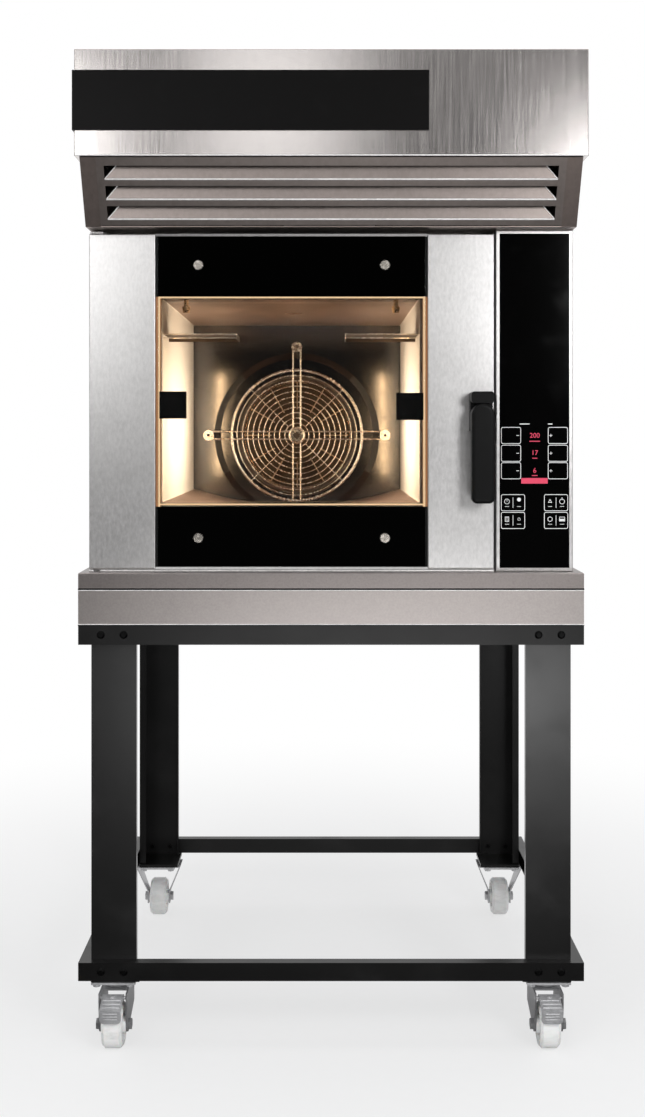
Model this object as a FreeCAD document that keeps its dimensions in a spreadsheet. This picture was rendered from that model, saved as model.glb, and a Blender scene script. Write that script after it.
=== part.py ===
import FreeCAD, Part
import math
import os
import Sketcher

# Electric convection oven with a glazed door, a steam hood on top and a castor stand below.
# Millimetres. +X is the right-hand side, the front faces -Y, +Z is up.
# The origin is on the floor, under the middle of the whole object.

doc = FreeCAD.newDocument("convection_oven")
sheet = doc.addObject("Spreadsheet::Sheet", "Sizes")
nodes = []


class Size:
    """A length, count or angle that knows its formula on the sheet and its value."""

    def __init__(self, formula, value):
        self.formula = formula
        self.value = float(value)

    def __add__(self, other):
        other = as_size(other)
        return Size(f"({self.formula} + {other.formula})", self.value + other.value)

    def __sub__(self, other):
        other = as_size(other)
        return Size(f"({self.formula} - {other.formula})", self.value - other.value)

    def __mul__(self, other):
        other = as_size(other)
        return Size(f"({self.formula} * {other.formula})", self.value * other.value)

    def __truediv__(self, other):
        other = as_size(other)
        return Size(f"({self.formula} / {other.formula})", self.value / other.value)

    def __radd__(self, other):
        return as_size(other) + self

    def __rsub__(self, other):
        return as_size(other) - self

    def __rmul__(self, other):
        return as_size(other) * self

    def __neg__(self):
        return as_size(0) - self

    def root(self):
        return Size(f"sqrt({self.formula})", math.sqrt(self.value))

    def arctangent(self):
        return Size(f"atan({self.formula})", math.degrees(math.atan(self.value)))


def as_size(amount):
    return amount if isinstance(amount, Size) else Size(f"({float(amount)!r})", amount)


def ordered(first, second):
    """Two sizes as a (low, high) pair."""
    return (first, second) if first.value <= second.value else (second, first)


def cell(alias, number, meaning):
    """Write one driving dimension on the sheet and return it."""
    row = cell.rows = getattr(cell, "rows", 0) + 1
    sheet.set(f"A{row}", alias)
    sheet.set(f"B{row}", str(number))
    sheet.setAlias(f"B{row}", alias)
    sheet.set(f"C{row}", meaning)
    return Size(f"Sizes.{alias}", number)


# Clearances and sheet thicknesses
panel_sheet = cell("panel_sheet", 1.5, "casing, cavity, door and hood sheet")
stand_sheet = cell("stand_sheet", 2.5, "folded sheet of the stand's legs and rails")
running_gap = cell("running_gap", 0.4, "space between faces that move past each other")
pin_clearance = cell("pin_clearance", 0.05, "radial play of a pin, shaft or bolt in its hole")
loose_gap = cell("loose_gap", 0.5, "room round a shaft in a sheet and between door and hinge bracket")
edge_round = cell("edge_round", 2.0, "bend radius on the visible folded edges")

# Castors
wheel_radius = cell("wheel_radius", 40, "castor wheel radius")
wheel_width = cell("wheel_width", 36, "castor wheel tread width")
wheel_edge = cell("wheel_edge", 5, "chamfer at the tread's edges")
wheel_hub_radius = cell("wheel_hub_radius", 14, "castor wheel hub radius")
wheel_web = cell("wheel_web", 18, "thickness of the wheel's web")
wheel_rim = cell("wheel_rim", 11, "depth of the wheel's rim")
hub_overhang = cell("hub_overhang", 4, "how far the hub stands out of the tread on each side")
axle_radius = cell("axle_radius", 6, "castor axle radius")
castor_height = cell("castor_height", 118, "floor to the top of the castor's plate")
castor_plate_x = cell("castor_plate_x", 78, "castor plate across")
castor_plate_y = cell("castor_plate_y", 100, "castor plate front to back")
castor_plate_sheet = cell("castor_plate_sheet", 4, "castor plate thickness")
race_radius = cell("race_radius", 28, "swivel bearing race radius")
race_height = cell("race_height", 14, "swivel bearing race height")
king_pin_radius = cell("king_pin_radius", 6, "swivel king pin radius")
fork_sheet = cell("fork_sheet", 3, "castor fork sheet")
fork_front = cell("fork_front", 30, "swivel fork's crown in front of the swivel axis")
fork_back = cell("fork_back", 42, "swivel fork's cheeks behind the swivel axis")
fork_boss_radius = cell("fork_boss_radius", 13, "fork's round end at the axle")
castor_trail = cell("castor_trail", 35, "swivel axis to axle")
rigid_fork_top = cell("rigid_fork_top", 100, "rear fork width at its top")
rigid_fork_depth = cell("rigid_fork_depth", 56, "rear fork front to back at its top")
nut_radius = cell("nut_radius", 10, "axle nut and head, centre to corner")
nut_height = cell("nut_height", 6, "axle nut and head height")
pedal_width = cell("pedal_width", 38, "brake pedal width")
pedal_reach = cell("pedal_reach", 44, "brake pedal top plate, pivot to front edge")
pedal_lip = cell("pedal_lip", 26, "brake pedal front lip height")
pedal_slope = cell("pedal_slope", 16, "brake pedal top plate slope in degrees")
pedal_pin_radius = cell("pedal_pin_radius", 3, "brake pedal pivot pin radius")

# Stand
stand_width = cell("stand_width", 890, "stand across its side rails")
stand_depth = cell("stand_depth", 780, "stand front to back")
stand_ahead = cell("stand_ahead", 25, "stand front ahead of the door's outer face")
foot_sheet = cell("foot_sheet", 6, "foot plate thickness under each leg")
foot_side = cell("foot_side", 92, "foot plate side")
leg_height = cell("leg_height", 627.5, "leg height above its foot plate")
leg_flange = cell("leg_flange", 80, "leg flange width")
leg_lip = cell("leg_lip", 14, "turned-in lip of the leg flanges")
rail_depth = cell("rail_depth", 20, "rail depth, outside to leg")
top_rail_height = cell("top_rail_height", 35, "upper rail height")
low_rail_height = cell("low_rail_height", 32, "lower rail height")
bolt_spacing = cell("bolt_spacing", 40, "distance between a pair of frame bolts")
bolt_radius = cell("bolt_radius", 4, "frame bolt shank radius")
bolt_head_radius = cell("bolt_head_radius", 7, "frame bolt head radius")
bolt_head_height = cell("bolt_head_height", 4, "frame bolt head height")
apron_height = cell("apron_height", 61.5, "steel band above the frame")
stand_top_height = cell("stand_top_height", 30, "folded top plate's edge height")

# Casing and cavity
casing_width = cell("casing_width", 860, "oven casing width")
casing_height = cell("casing_height", 607, "oven casing height")
cavity_width = cell("cavity_width", 470, "cavity width")
cavity_centre = cell("cavity_centre", -73, "cavity centre, right of the casing centre")
cavity_depth = cell("cavity_depth", 637, "cavity mouth to fan baffle")
cavity_side_floor = cell("cavity_side_floor", 121, "casing base to cavity floor at its sides")
cavity_side_height = cell("cavity_side_height", 370, "cavity height at its side walls")
floor_dish = cell("floor_dish", 37, "how far the cavity floor dips in its middle")
fan_chamber = cell("fan_chamber", 60, "fan baffle to cavity back wall")
baffle_sheet = cell("baffle_sheet", 2, "fan baffle thickness")
insulation = cell("insulation", 30, "mineral wool around the cavity")
cover_depth = cell("cover_depth", 95, "motor cover depth behind the casing")
cover_width = cell("cover_width", 260, "motor cover width")
cover_height = cell("cover_height", 300, "motor cover height")
shade_reach = cell("shade_reach", 135, "deflector plate, wall to free edge")
shade_depth = cell("shade_depth", 100, "deflector plate front to back")
shade_lip = cell("shade_lip", 9, "deflector plate's turned-down edge")
shade_drop = cell("shade_drop", 62, "cavity ceiling to deflector plate")
shade_inset = cell("shade_inset", 24, "cavity mouth to deflector plate")
stud_radius = cell("stud_radius", 7.5, "ceiling stud radius")
stud_length = cell("stud_length", 24, "ceiling stud length")
stud_inset = cell("stud_inset", 42, "side wall to ceiling stud")
vent_radius = cell("vent_radius", 20, "cavity vent pipe outer radius")
vent_rise = cell("vent_rise", 40, "vent pipe above the casing top")

# Fan, guard and heater
fan_drop = cell("fan_drop", 249, "cavity ceiling to fan axis")
fan_radius = cell("fan_radius", 120, "fan wheel radius")
fan_blade_depth = cell("fan_blade_depth", 36, "fan blade depth")
fan_blade_count = cell("fan_blade_count", 12, "number of fan blades")
fan_blade_sheet = cell("fan_blade_sheet", 2.5, "fan blade and back plate thickness")
fan_hub_radius = cell("fan_hub_radius", 18, "fan hub radius")
shaft_radius = cell("shaft_radius", 7, "fan shaft radius")
motor_radius = cell("motor_radius", 46, "fan motor radius")
motor_length = cell("motor_length", 82, "fan motor length")
inlet_radius = cell("inlet_radius", 140, "air inlet in the baffle")
dish_radius = cell("dish_radius", 190, "formed ring of the baffle, outer radius")
dish_rise = cell("dish_rise", 10, "formed ring's height")
dish_slope = cell("dish_slope", 18, "formed ring's width")
guard_radius = cell("guard_radius", 147, "guard's outer ring radius")
guard_stand_off = cell("guard_stand_off", 22, "baffle to guard plane")
guard_rim_wire = cell("guard_rim_wire", 3.5, "outer ring wire radius")
guard_wire = cell("guard_wire", 1.3, "inner ring wire radius")
guard_pitch = cell("guard_pitch", 12, "distance between guard rings")
guard_arm_wire = cell("guard_arm_wire", 2, "guard arm wire radius")
guard_arm_gap = cell("guard_arm_gap", 17, "distance between the two wires of an arm")
guard_arm_reach = cell("guard_arm_reach", 199, "fan axis to the guard's fixing screws")
guard_boss_radius = cell("guard_boss_radius", 14, "guard's centre disc radius")
guard_stud_radius = cell("guard_stud_radius", 3, "radius of the guard's fixing studs")
heater_radius = cell("heater_radius", 132, "heating element loop radius")
heater_tube = cell("heater_tube", 4, "heating element tube radius")
heater_sleeve = cell("heater_sleeve", 5, "radius of the sleeves on the heating element's tails")

# Door
door_side_gap = cell("door_side_gap", 3, "door to control column")
door_thickness = cell("door_thickness", 60, "door thickness")
door_gap = cell("door_gap", 3, "door to casing front")
door_bottom_gap = cell("door_bottom_gap", 4, "casing base to door bottom")
door_top_gap = cell("door_top_gap", 7, "door top to casing top")
stile_width = cell("stile_width", 118, "steel stile width on each side of the glass")
stile_cap = cell("stile_cap", 6, "stile end block thickness")
glass_gap = cell("glass_gap", 4, "stile to glass")
glass_sheet = cell("glass_sheet", 5, "outer glass thickness")
glass_recess = cell("glass_recess", 2, "outer glass behind the stile faces")
inner_glass_sheet = cell("inner_glass_sheet", 4, "inner glass thickness")
band_height = cell("band_height", 107, "dark band above and below the window")
trim_height = cell("trim_height", 4, "bevelled trim above and below the glass")
screw_spread_x = cell("screw_spread_x", 332, "glass screws, distance across")
screw_spread_z = cell("screw_spread_z", 485, "glass screws, distance up and down")
screw_head_radius = cell("screw_head_radius", 9.5, "glass screw head radius")
screw_head_height = cell("screw_head_height", 3, "glass screw head height")
screw_radius = cell("screw_radius", 4, "glass screw shank radius")
screw_length = cell("screw_length", 16, "glass screw shank length")
lamp_width = cell("lamp_width", 8, "lamp strip width")
lamp_depth = cell("lamp_depth", 14, "lamp strip depth")
hinge_inset = cell("hinge_inset", 12, "door's left edge to hinge axis")
hinge_depth = cell("hinge_depth", 15, "door's outer face to hinge axis")
hinge_pin_radius = cell("hinge_pin_radius", 5, "hinge pin radius")
hinge_pin_grip = cell("hinge_pin_grip", 18, "hinge pin length inside the door")
bracket_sheet = cell("bracket_sheet", 3, "hinge bracket thickness")
bracket_width = cell("bracket_width", 28, "hinge bracket width")
gasket_width = cell("gasket_width", 14, "door seal width")

# Handle and latch
handle_inset = cell("handle_inset", 25, "door's right edge to handle axis")
handle_height = cell("handle_height", 278, "casing base to handle axis")
handle_base_width = cell("handle_base_width", 40, "handle base width")
handle_base_above = cell("handle_base_above", 41, "handle axis to the top of its base")
handle_base_below = cell("handle_base_below", 28, "handle axis to the bottom of its base")
handle_base_depth = cell("handle_base_depth", 22, "handle base depth")
handle_cap_depth = cell("handle_cap_depth", 46, "depth of the cap above the lever")
lever_width = cell("lever_width", 40, "lever width")
lever_reach = cell("lever_reach", 155, "handle axis to the lever's lower end")
lever_front = cell("lever_front", 54, "door's outer face to the lever's front")
finger_gap = cell("finger_gap", 33, "door's outer face to the back of the lever")
lever_round = cell("lever_round", 6, "rounding of the lever's edges")
spindle_radius = cell("spindle_radius", 6, "lever spindle radius")
cam_radius = cell("cam_radius", 16, "spindle cam radius")
cam_sheet = cell("cam_sheet", 5, "spindle cam thickness")
latch_drop = cell("latch_drop", 70, "handle axis to latch roller")
latch_radius = cell("latch_radius", 5, "latch roller radius")
latch_length = cell("latch_length", 20, "latch roller reach behind the door")
latch_play = cell("latch_play", 3, "room around the latch roller")

# Control column
control_width = cell("control_width", 137, "control column width")
control_rim = cell("control_rim", 6.5, "steel rim around the control glass")
control_glass_sheet = cell("control_glass_sheet", 4, "control glass thickness")
board_sheet = cell("board_sheet", 2, "control board thickness")
board_height = cell("board_height", 330, "control board height")
board_gap = cell("board_gap", 12, "control glass to control board")
gland_radius = cell("gland_radius", 16, "cable gland outer radius")
gland_bore = cell("gland_bore", 9, "cable gland bore radius")
gland_length = cell("gland_length", 26, "cable gland length behind the casing")

# Hood
hood_overhang = cell("hood_overhang", 107, "hood front ahead of the door's outer face")
hood_width = cell("hood_width", 876, "hood upper box width")
hood_box_height = cell("hood_box_height", 182, "hood upper box height")
skirt_height = cell("skirt_height", 111, "sloping lower part's height")
skirt_top_ahead = cell("skirt_top_ahead", 100, "slope's upper edge ahead of the door")
skirt_bottom_ahead = cell("skirt_bottom_ahead", 36, "slope's lower edge ahead of the door")
strip_width = cell("strip_width", 27, "plain strip beside the louvre panel")
plate_sheet = cell("plate_sheet", 3, "dark front plate thickness")
plate_length = cell("plate_length", 607, "dark front plate length on the hood's face")
plate_height = cell("plate_height", 102, "dark front plate height")
plate_rise = cell("plate_rise", 43, "hood box bottom to dark front plate")
plate_wrap = cell("plate_wrap", 30, "dark plate's return along the left side")
louvre_margin = cell("louvre_margin", 13, "louvre end to the plain strip")
louvre_pitch = cell("louvre_pitch", 36.5, "distance between louvres along the slope")
louvre_height = cell("louvre_height", 24, "louvre height along the slope")
louvre_first = cell("louvre_first", 14.5, "slope's lower edge to the first louvre lip")
louvre_lean = cell("louvre_lean", 32, "louvre blade lean in degrees")
louvre_taper = cell("louvre_taper", 20, "how much shorter each blade end is at its top")
louvre_count = 3
collar_radius = cell("collar_radius", 75, "flue collar outer radius")
collar_height = cell("collar_height", 40, "flue collar height above the hood")
collar_back = cell("collar_back", 190, "flue axis ahead of the casing back")
hood_fan_radius = cell("hood_fan_radius", 100, "extractor wheel radius")
hood_fan_height = cell("hood_fan_height", 50, "extractor wheel height")
hood_motor_radius = cell("hood_motor_radius", 45, "extractor motor radius")
hood_motor_height = cell("hood_motor_height", 90, "extractor motor height")

# Levels and planes that follow from the sizes
foot_level = castor_height
leg_level = foot_level + foot_sheet
apron_level = leg_level + leg_height
stand_top_level = apron_level + apron_height
casing_base = stand_top_level + stand_top_height
casing_top = casing_base + casing_height
hood_box_level = casing_top + skirt_height
hood_top = hood_box_level + hood_box_height
total_depth = (plate_sheet + hood_overhang + door_thickness + door_gap + cavity_depth + baffle_sheet
               + fan_chamber + insulation + panel_sheet * 2 + cover_depth)
door_front = plate_sheet + hood_overhang - total_depth / 2
door_back = door_front + door_thickness
casing_front = door_back + door_gap
baffle_front = casing_front + cavity_depth
cavity_back = baffle_front + baffle_sheet + fan_chamber
casing_back = cavity_back + panel_sheet + insulation + panel_sheet
casing_left = -casing_width / 2
casing_right = casing_width / 2
cavity_left = cavity_centre - cavity_width / 2
cavity_right = cavity_centre + cavity_width / 2
cavity_floor = casing_base + cavity_side_floor
cavity_ceiling = cavity_floor + cavity_side_height
fan_height = cavity_ceiling - fan_drop
door_left = casing_left
door_right = casing_right - control_width - door_side_gap
door_bottom = casing_base + door_bottom_gap
door_top = casing_top - door_top_gap


def bind(feature, prop, amount):
    feature.setExpression(prop, as_size(amount).formula)


def place(feature, x, y, z):
    for axis, amount in zip("xyz", (x, y, z)):
        bind(feature, f"Placement.Base.{axis}", amount)
    return feature


def turn(feature, axis, degrees):
    """Turn a feature about a row axis through its own origin, before it is placed."""
    degrees = as_size(degrees)
    feature.Placement = FreeCAD.Placement(
        FreeCAD.Vector(), FreeCAD.Rotation(DIRECTIONS[axis], degrees.value))
    bind(feature, "Placement.Rotation.Angle", degrees)
    return feature


DIRECTIONS = {
    "X": FreeCAD.Vector(1, 0, 0),
    "Y": FreeCAD.Vector(0, 1, 0),
    "Z": FreeCAD.Vector(0, 0, 1),
}
# Turns that take the Z axis of a round feature to each row axis
AXIS_TURNS = {"X": ("Y", 90), "Y": ("X", 270), "Z": ("Z", 0)}


def block(x, y, z):
    """A box given by its (low, high) pair on each axis."""
    solid = doc.addObject("Part::Box", "block")
    for prop, (low, high) in zip(("Length", "Width", "Height"), (x, y, z)):
        bind(solid, prop, as_size(high) - low)
    return place(solid, x[0], y[0], z[0])


def along(feature, axis, start):
    """Turn a round feature from Z to a row axis and move its origin to start."""
    turn_axis, degrees = AXIS_TURNS[axis]
    feature.Placement = FreeCAD.Placement(
        FreeCAD.Vector(), FreeCAD.Rotation(DIRECTIONS[turn_axis], degrees))
    return place(feature, *start)


def rod(axis, start, radius, length):
    solid = doc.addObject("Part::Cylinder", "rod")
    bind(solid, "Radius", radius)
    bind(solid, "Height", length)
    return along(solid, axis, start)


def cone(axis, start, first_radius, last_radius, length):
    solid = doc.addObject("Part::Cone", "cone")
    bind(solid, "Radius1", first_radius)
    bind(solid, "Radius2", last_radius)
    bind(solid, "Height", length)
    return along(solid, axis, start)


def ring(axis, centre, radius, wire):
    solid = doc.addObject("Part::Torus", "ring")
    bind(solid, "Radius1", radius)
    bind(solid, "Radius2", wire)
    return along(solid, axis, centre)


def hexagon(axis, start, radius, length):
    solid = doc.addObject("Part::Prism", "hexagon")
    solid.Polygon = 6
    bind(solid, "Circumradius", radius)
    bind(solid, "Height", length)
    return along(solid, axis, start)


def upright_wedge(x_low, y_low, x_high, y_high, z):
    """A block whose x and y pairs change from the low level of z to its high level."""
    solid = doc.addObject("Part::Wedge", "wedge")
    bounds = {
        "Xmin": x_low[0], "Xmax": x_low[1], "X2min": x_high[0], "X2max": x_high[1],
        "Zmin": -as_size(y_low[1]), "Zmax": -as_size(y_low[0]),
        "Z2min": -as_size(y_high[1]), "Z2max": -as_size(y_high[0]),
        "Ymin": as_size(0), "Ymax": as_size(z[1]) - z[0],
    }
    for prop, amount in bounds.items():
        setattr(solid, prop, as_size(amount).value)
    for prop, amount in bounds.items():
        bind(solid, prop, amount)
    turn(solid, "X", 90)
    return place(solid, 0, 0, z[0])


def fuse(*solids):
    joined = doc.addObject("Part::MultiFuse", "joined")
    joined.Shapes = list(solids)
    joined.Refine = True
    return joined


def group(*solids):
    """Separate solids kept together."""
    together = doc.addObject("Part::Compound", "together")
    together.Links = list(solids)
    return together


def cut(base, *tools):
    remainder = doc.addObject("Part::Cut", "remainder")
    remainder.Base = base
    remainder.Tool = tools[0] if len(tools) == 1 else fuse(*tools)
    return remainder


def common(first, second):
    shared = doc.addObject("Part::Common", "shared")
    shared.Base = first
    shared.Tool = second
    return shared


def soften(feature, radius, chosen):
    """Round the edges whose middle and direction the chosen test accepts."""
    doc.recompute()
    rounded = doc.addObject("Part::Fillet", "rounded")
    rounded.Base = feature
    edges = []
    for number, edge in enumerate(feature.Shape.Edges, start=1):
        if len(edge.Vertexes) == 2:
            first, last = edge.Vertexes[0].Point, edge.Vertexes[1].Point
            if chosen((first + last) * 0.5, (last - first).normalize()):
                edges.append((number, radius.value, radius.value))
    rounded.Edges = edges
    return rounded


def near(first, second):
    return abs(first - as_size(second).value) < 1e-6


def node(feature, label):
    """Name a finished piece. Its label is its file's name."""
    feature.Label = label
    nodes.append(feature)
    return feature


def new_body(name):
    return doc.addObject("PartDesign::Body", name)


def origin_plane(body, role):
    return next(plane for plane in body.Origin.OriginFeatures if plane.Role == role)


def outline(body, role, corners):
    """A closed sketch of straight edges on an origin plane. Two bound sizes hold each corner."""
    sketch = body.newObject("Sketcher::SketchObject", "outline")
    sketch.AttachmentSupport = [(origin_plane(body, role), "")]
    sketch.MapMode = "FlatFace"
    points = [FreeCAD.Vector(as_size(across).value, as_size(up).value, 0) for across, up in corners]
    for index, point in enumerate(points):
        sketch.addGeometry(Part.LineSegment(point, points[(index + 1) % len(points)]), False)
    for index in range(len(points)):
        following = (index + 1) % len(points)
        sketch.addConstraint(Sketcher.Constraint("Coincident", index, 2, following, 1))
    for index, corner in enumerate(corners):
        for kind, amount in zip(("DistanceX", "DistanceY"), corner):
            amount = as_size(amount)
            number = sketch.addConstraint(Sketcher.Constraint(kind, -1, 1, index, 1, amount.value))
            name = f"{kind}_{index}"
            sketch.renameConstraint(number, name)
            bind(sketch, f"Constraints.{name}", amount)
    return sketch


def pad(body, sketch, length, reversed_way=False):
    feature = body.newObject("PartDesign::Pad", "pad")
    feature.Profile = sketch
    bind(feature, "Length", length)
    feature.Reversed = reversed_way
    return feature


# The stand's plan, seen from above
stand_front = door_front - stand_ahead
stand_back = stand_front + stand_depth
leg_outer = stand_width / 2 - rail_depth
leg_middle = leg_outer - leg_flange / 2
leg_front = stand_front + rail_depth
leg_back = stand_back - rail_depth
low_rail_level = leg_level + 1
top_rail_level = apron_level - top_rail_height
sides = {"left": -1, "right": 1}
ends = {"front": -1, "rear": 1}


def leg_y(end):
    """The leg's outer face and its middle, front to back."""
    face = leg_front if end == "front" else leg_back
    return face, face - ends[end] * leg_flange / 2


def bolt_line(end, level, height):
    """Frame bolts of one rail height at one end: start points on the rails' outer faces."""
    face, middle_y = leg_y(end)
    middle_z = level + height / 2
    for side in sides.values():
        for step in (-0.5, 0.5):
            across = side * leg_middle + bolt_spacing * step
            yield "Y", ends[end], (across, face + ends[end] * rail_depth, middle_z)
            yield "X", side, (side * stand_width / 2, middle_y + bolt_spacing * step, middle_z)


def frame_bolts():
    for end in ends:
        yield from bolt_line(end, top_rail_level, top_rail_height)
        yield from bolt_line(end, low_rail_level, low_rail_height)


def bolt_shank(axis, way, start, radius, extra):
    """A shank through the rail and the leg's flange, with extra length outside the rail."""
    length = rail_depth + stand_sheet + bolt_radius + extra
    begin = list(start)
    index = "XYZ".index(axis)
    begin[index] = start[index] + extra if way > 0 else start[index] - extra
    if way > 0:
        begin[index] = begin[index] - length
    return rod(axis, begin, radius, length)


def bolt_holes(axes=("X", "Y")):
    return group(*[bolt_shank(axis, way, start, bolt_radius + pin_clearance, as_size(1))
                   for axis, way, start in frame_bolts() if axis in axes])


def frame_bolt(axis, way, start):
    shank = bolt_shank(axis, way, start, bolt_radius, as_size(0))
    begin = list(start)
    index = "XYZ".index(axis)
    narrow = bolt_head_radius * 0.6
    if way < 0:
        begin[index] = start[index] - bolt_head_height
        head = cone(axis, begin, narrow, bolt_head_radius, bolt_head_height)
    else:
        head = cone(axis, begin, bolt_head_radius, narrow, bolt_head_height)
    return fuse(shank, head)


def cross_rail(y, z):
    """A rectangular tube from one side rail to the other."""
    return cut(block((-rail_inner, rail_inner), y, z),
               block((-rail_inner - 1, rail_inner + 1), (y[0] + stand_sheet, y[1] - stand_sheet),
                     (z[0] + stand_sheet, z[1] - stand_sheet)))


def leg(side, end):
    """A folded corner post on a square foot plate."""
    way_x, way_y = sides[side], ends[end]
    face, middle_y = leg_y(end)
    inner_x = leg_flange - stand_sheet
    lip = leg_lip
    body = new_body(f"{end}_{side}_post")
    corners = [
        (0, 0), (leg_flange, 0), (leg_flange, lip), (inner_x, lip), (inner_x, stand_sheet),
        (stand_sheet, stand_sheet), (stand_sheet, inner_x), (lip, inner_x), (lip, leg_flange),
        (0, leg_flange),
    ]
    signed = [(-way_x * as_size(across), -way_y * as_size(up)) for across, up in corners]
    pad(body, outline(body, "XY_Plane", signed), leg_height)
    place(body, way_x * leg_outer, face, leg_level)
    half = foot_side / 2
    foot = block((way_x * leg_middle - half, way_x * leg_middle + half),
                 (middle_y - half, middle_y + half), (foot_level, leg_level))
    corner_x = ordered(way_x * (leg_outer + rail_depth), way_x * leg_outer)
    foot_clear = block(corner_x, (stand_front, stand_back), (foot_level - 1, leg_level + 1))
    return cut(fuse(body, cut(foot, foot_clear)), bolt_holes())


for end in ends:
    node(group(*[leg(side, end) for side in sides]), f"{end}_legs")

rail_inner = stand_width / 2 - rail_depth


def side_rail(side, z):
    """A channel along one side, open towards the legs and closed at both ends."""
    outer = ordered(side * stand_width / 2, side * rail_inner)
    hollow = ordered(side * (stand_width / 2 - stand_sheet), side * (rail_inner - 1))
    return cut(block(outer, (stand_front, stand_back), z),
               block(hollow, (stand_front + stand_sheet, stand_back - stand_sheet),
                     (z[0] + stand_sheet, z[1] - stand_sheet)))


for name, level, height in (("upper", top_rail_level, top_rail_height),
                            ("lower", low_rail_level, low_rail_height)):
    heights = (level, level + height)
    rails = [
        (cross_rail((stand_front, leg_front), heights), "Y"),
        (cross_rail((leg_back, stand_back), heights), "Y"),
        (side_rail(-1, heights), "X"),
        (side_rail(1, heights), "X"),
    ]
    node(group(*[cut(rail, bolt_holes(axis)) for rail, axis in rails]), f"{name}_rails")

node(group(*[frame_bolt(*bolt) for bolt in frame_bolts()]), "frame_bolts")


def stand_tray(level, height, name):
    """A folded steel band, closed on top, as deep and wide as the stand."""
    half = stand_width / 2
    outer = block((-half, half), (stand_front, stand_back), (level, level + height))
    hollow = block((-half + panel_sheet, half - panel_sheet),
                   (stand_front + panel_sheet, stand_back - panel_sheet),
                   (level - 1, level + height - panel_sheet))
    rounded = soften(outer, edge_round, lambda middle, way: abs(way.z) < 0.5
                     and near(middle.z, level + height))
    return node(cut(rounded, hollow), name)


stand_tray(apron_level, apron_height, "stand_apron")
stand_tray(stand_top_level, stand_top_height, "stand_top")

# Castor levels
plate_under = castor_height - castor_plate_sheet
race_under = plate_under - race_height
crown_top = race_under - running_gap
crown_under = crown_top - fork_sheet
axle_level = wheel_radius
hub_half = wheel_width / 2 + hub_overhang
fork_half = hub_half + running_gap


def castor_plate(x, y, swivels):
    """The fixing plate, with the swivel's race and king pin on the front pair."""
    plate = block((x - castor_plate_x / 2, x + castor_plate_x / 2),
                  (y - castor_plate_y / 2, y + castor_plate_y / 2), (plate_under, castor_height))
    if not swivels:
        return plate
    race = cone("Z", (x, y, race_under), race_radius * 0.8, race_radius, race_height)
    pin_end = crown_under - running_gap - nut_height
    king_pin = rod("Z", (x, y, pin_end), king_pin_radius, race_under - pin_end)
    nut = hexagon("Z", (x, y, pin_end), nut_radius, nut_height)
    return fuse(plate, race, king_pin, nut)


def axle(x, y, half_span):
    """A bolt through both fork sides, with its head and nut outside them."""
    shank = rod("X", (x - half_span - nut_height, y, axle_level), axle_radius, (half_span + nut_height) * 2)
    head = hexagon("X", (x - half_span - nut_height, y, axle_level), nut_radius, nut_height)
    nut = hexagon("X", (x + half_span, y, axle_level), nut_radius, nut_height)
    return fuse(shank, head, nut)


def axle_hole(x, y, half_span):
    return rod("X", (x - half_span - 1, y, axle_level), axle_radius + pin_clearance, (half_span + 1) * 2)


pedal_pivot_y = -fork_front - castor_trail / 2
pedal_pivot_z = crown_under - pedal_pin_radius * 2


def fork_side(x, y):
    """One cheek of a swivel fork, from its crown to its axle, with a lug for the pedal's pin."""
    body = new_body("cheek")
    lug_y = pedal_pivot_y - pedal_pin_radius * 2
    corners = [
        (fork_back, crown_top), (fork_back, axle_level + fork_boss_radius),
        (fork_boss_radius * 0.8 - castor_trail, axle_level - fork_boss_radius * 0.6),
        (-fork_boss_radius - castor_trail, axle_level),
        (lug_y, pedal_pivot_z - pedal_pin_radius * 2), (lug_y, crown_top),
    ]
    pad(body, outline(body, "YZ_Plane", corners), fork_sheet)
    place(body, x, y, 0)
    boss = rod("X", (x, y - castor_trail, axle_level), fork_boss_radius, fork_sheet)
    return fuse(body, boss)


def swivel_fork(x, y):
    half_span = fork_half + fork_sheet
    crown = block((x - half_span, x + half_span), (y - fork_front, y + fork_back), (crown_under, crown_top))
    cheeks = fuse(fork_side(x - half_span, y), fork_side(x + fork_half, y), crown)
    pin_hole = rod("Z", (x, y, crown_under - 1), king_pin_radius + pin_clearance, fork_sheet + 2)
    pedal_hole = rod("X", (x - half_span - 1, y + pedal_pivot_y, pedal_pivot_z),
                     pedal_pin_radius + pin_clearance, (half_span + 1) * 2)
    fork = cut(cheeks, pin_hole, pedal_hole, axle_hole(x, y - castor_trail, half_span))
    return group(fork, axle(x, y - castor_trail, half_span))


def rigid_fork(x, y):
    """A bent yoke, straight beside the wheel's hub and flared from there up to the plate."""
    half_top = rigid_fork_top / 2
    half_low = fork_half + fork_sheet
    low, bend = axle_level - fork_boss_radius, axle_level + fork_boss_radius
    deep_top, deep_low = rigid_fork_depth / 2, fork_boss_radius
    lower = block((x - half_low, x + half_low), (y - deep_low, y + deep_low), (low, bend))
    upper = upright_wedge((x - half_low, x + half_low), (y - deep_low, y + deep_low),
                          (x - half_top, x + half_top), (y - deep_top, y + deep_top), (bend, plate_under))
    inner_top = half_top - fork_sheet
    between = block((x - fork_half, x + fork_half), (y - deep_top, y + deep_top), (low - 1, bend))
    under_plate = upright_wedge((x - fork_half, x + fork_half), (y - deep_top, y + deep_top),
                                (x - inner_top, x + inner_top), (y - deep_top * 2, y + deep_top * 2),
                                (bend, plate_under - fork_sheet))
    return cut(fuse(lower, upper), fuse(between, under_plate), axle_hole(x, y, half_low))


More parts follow.
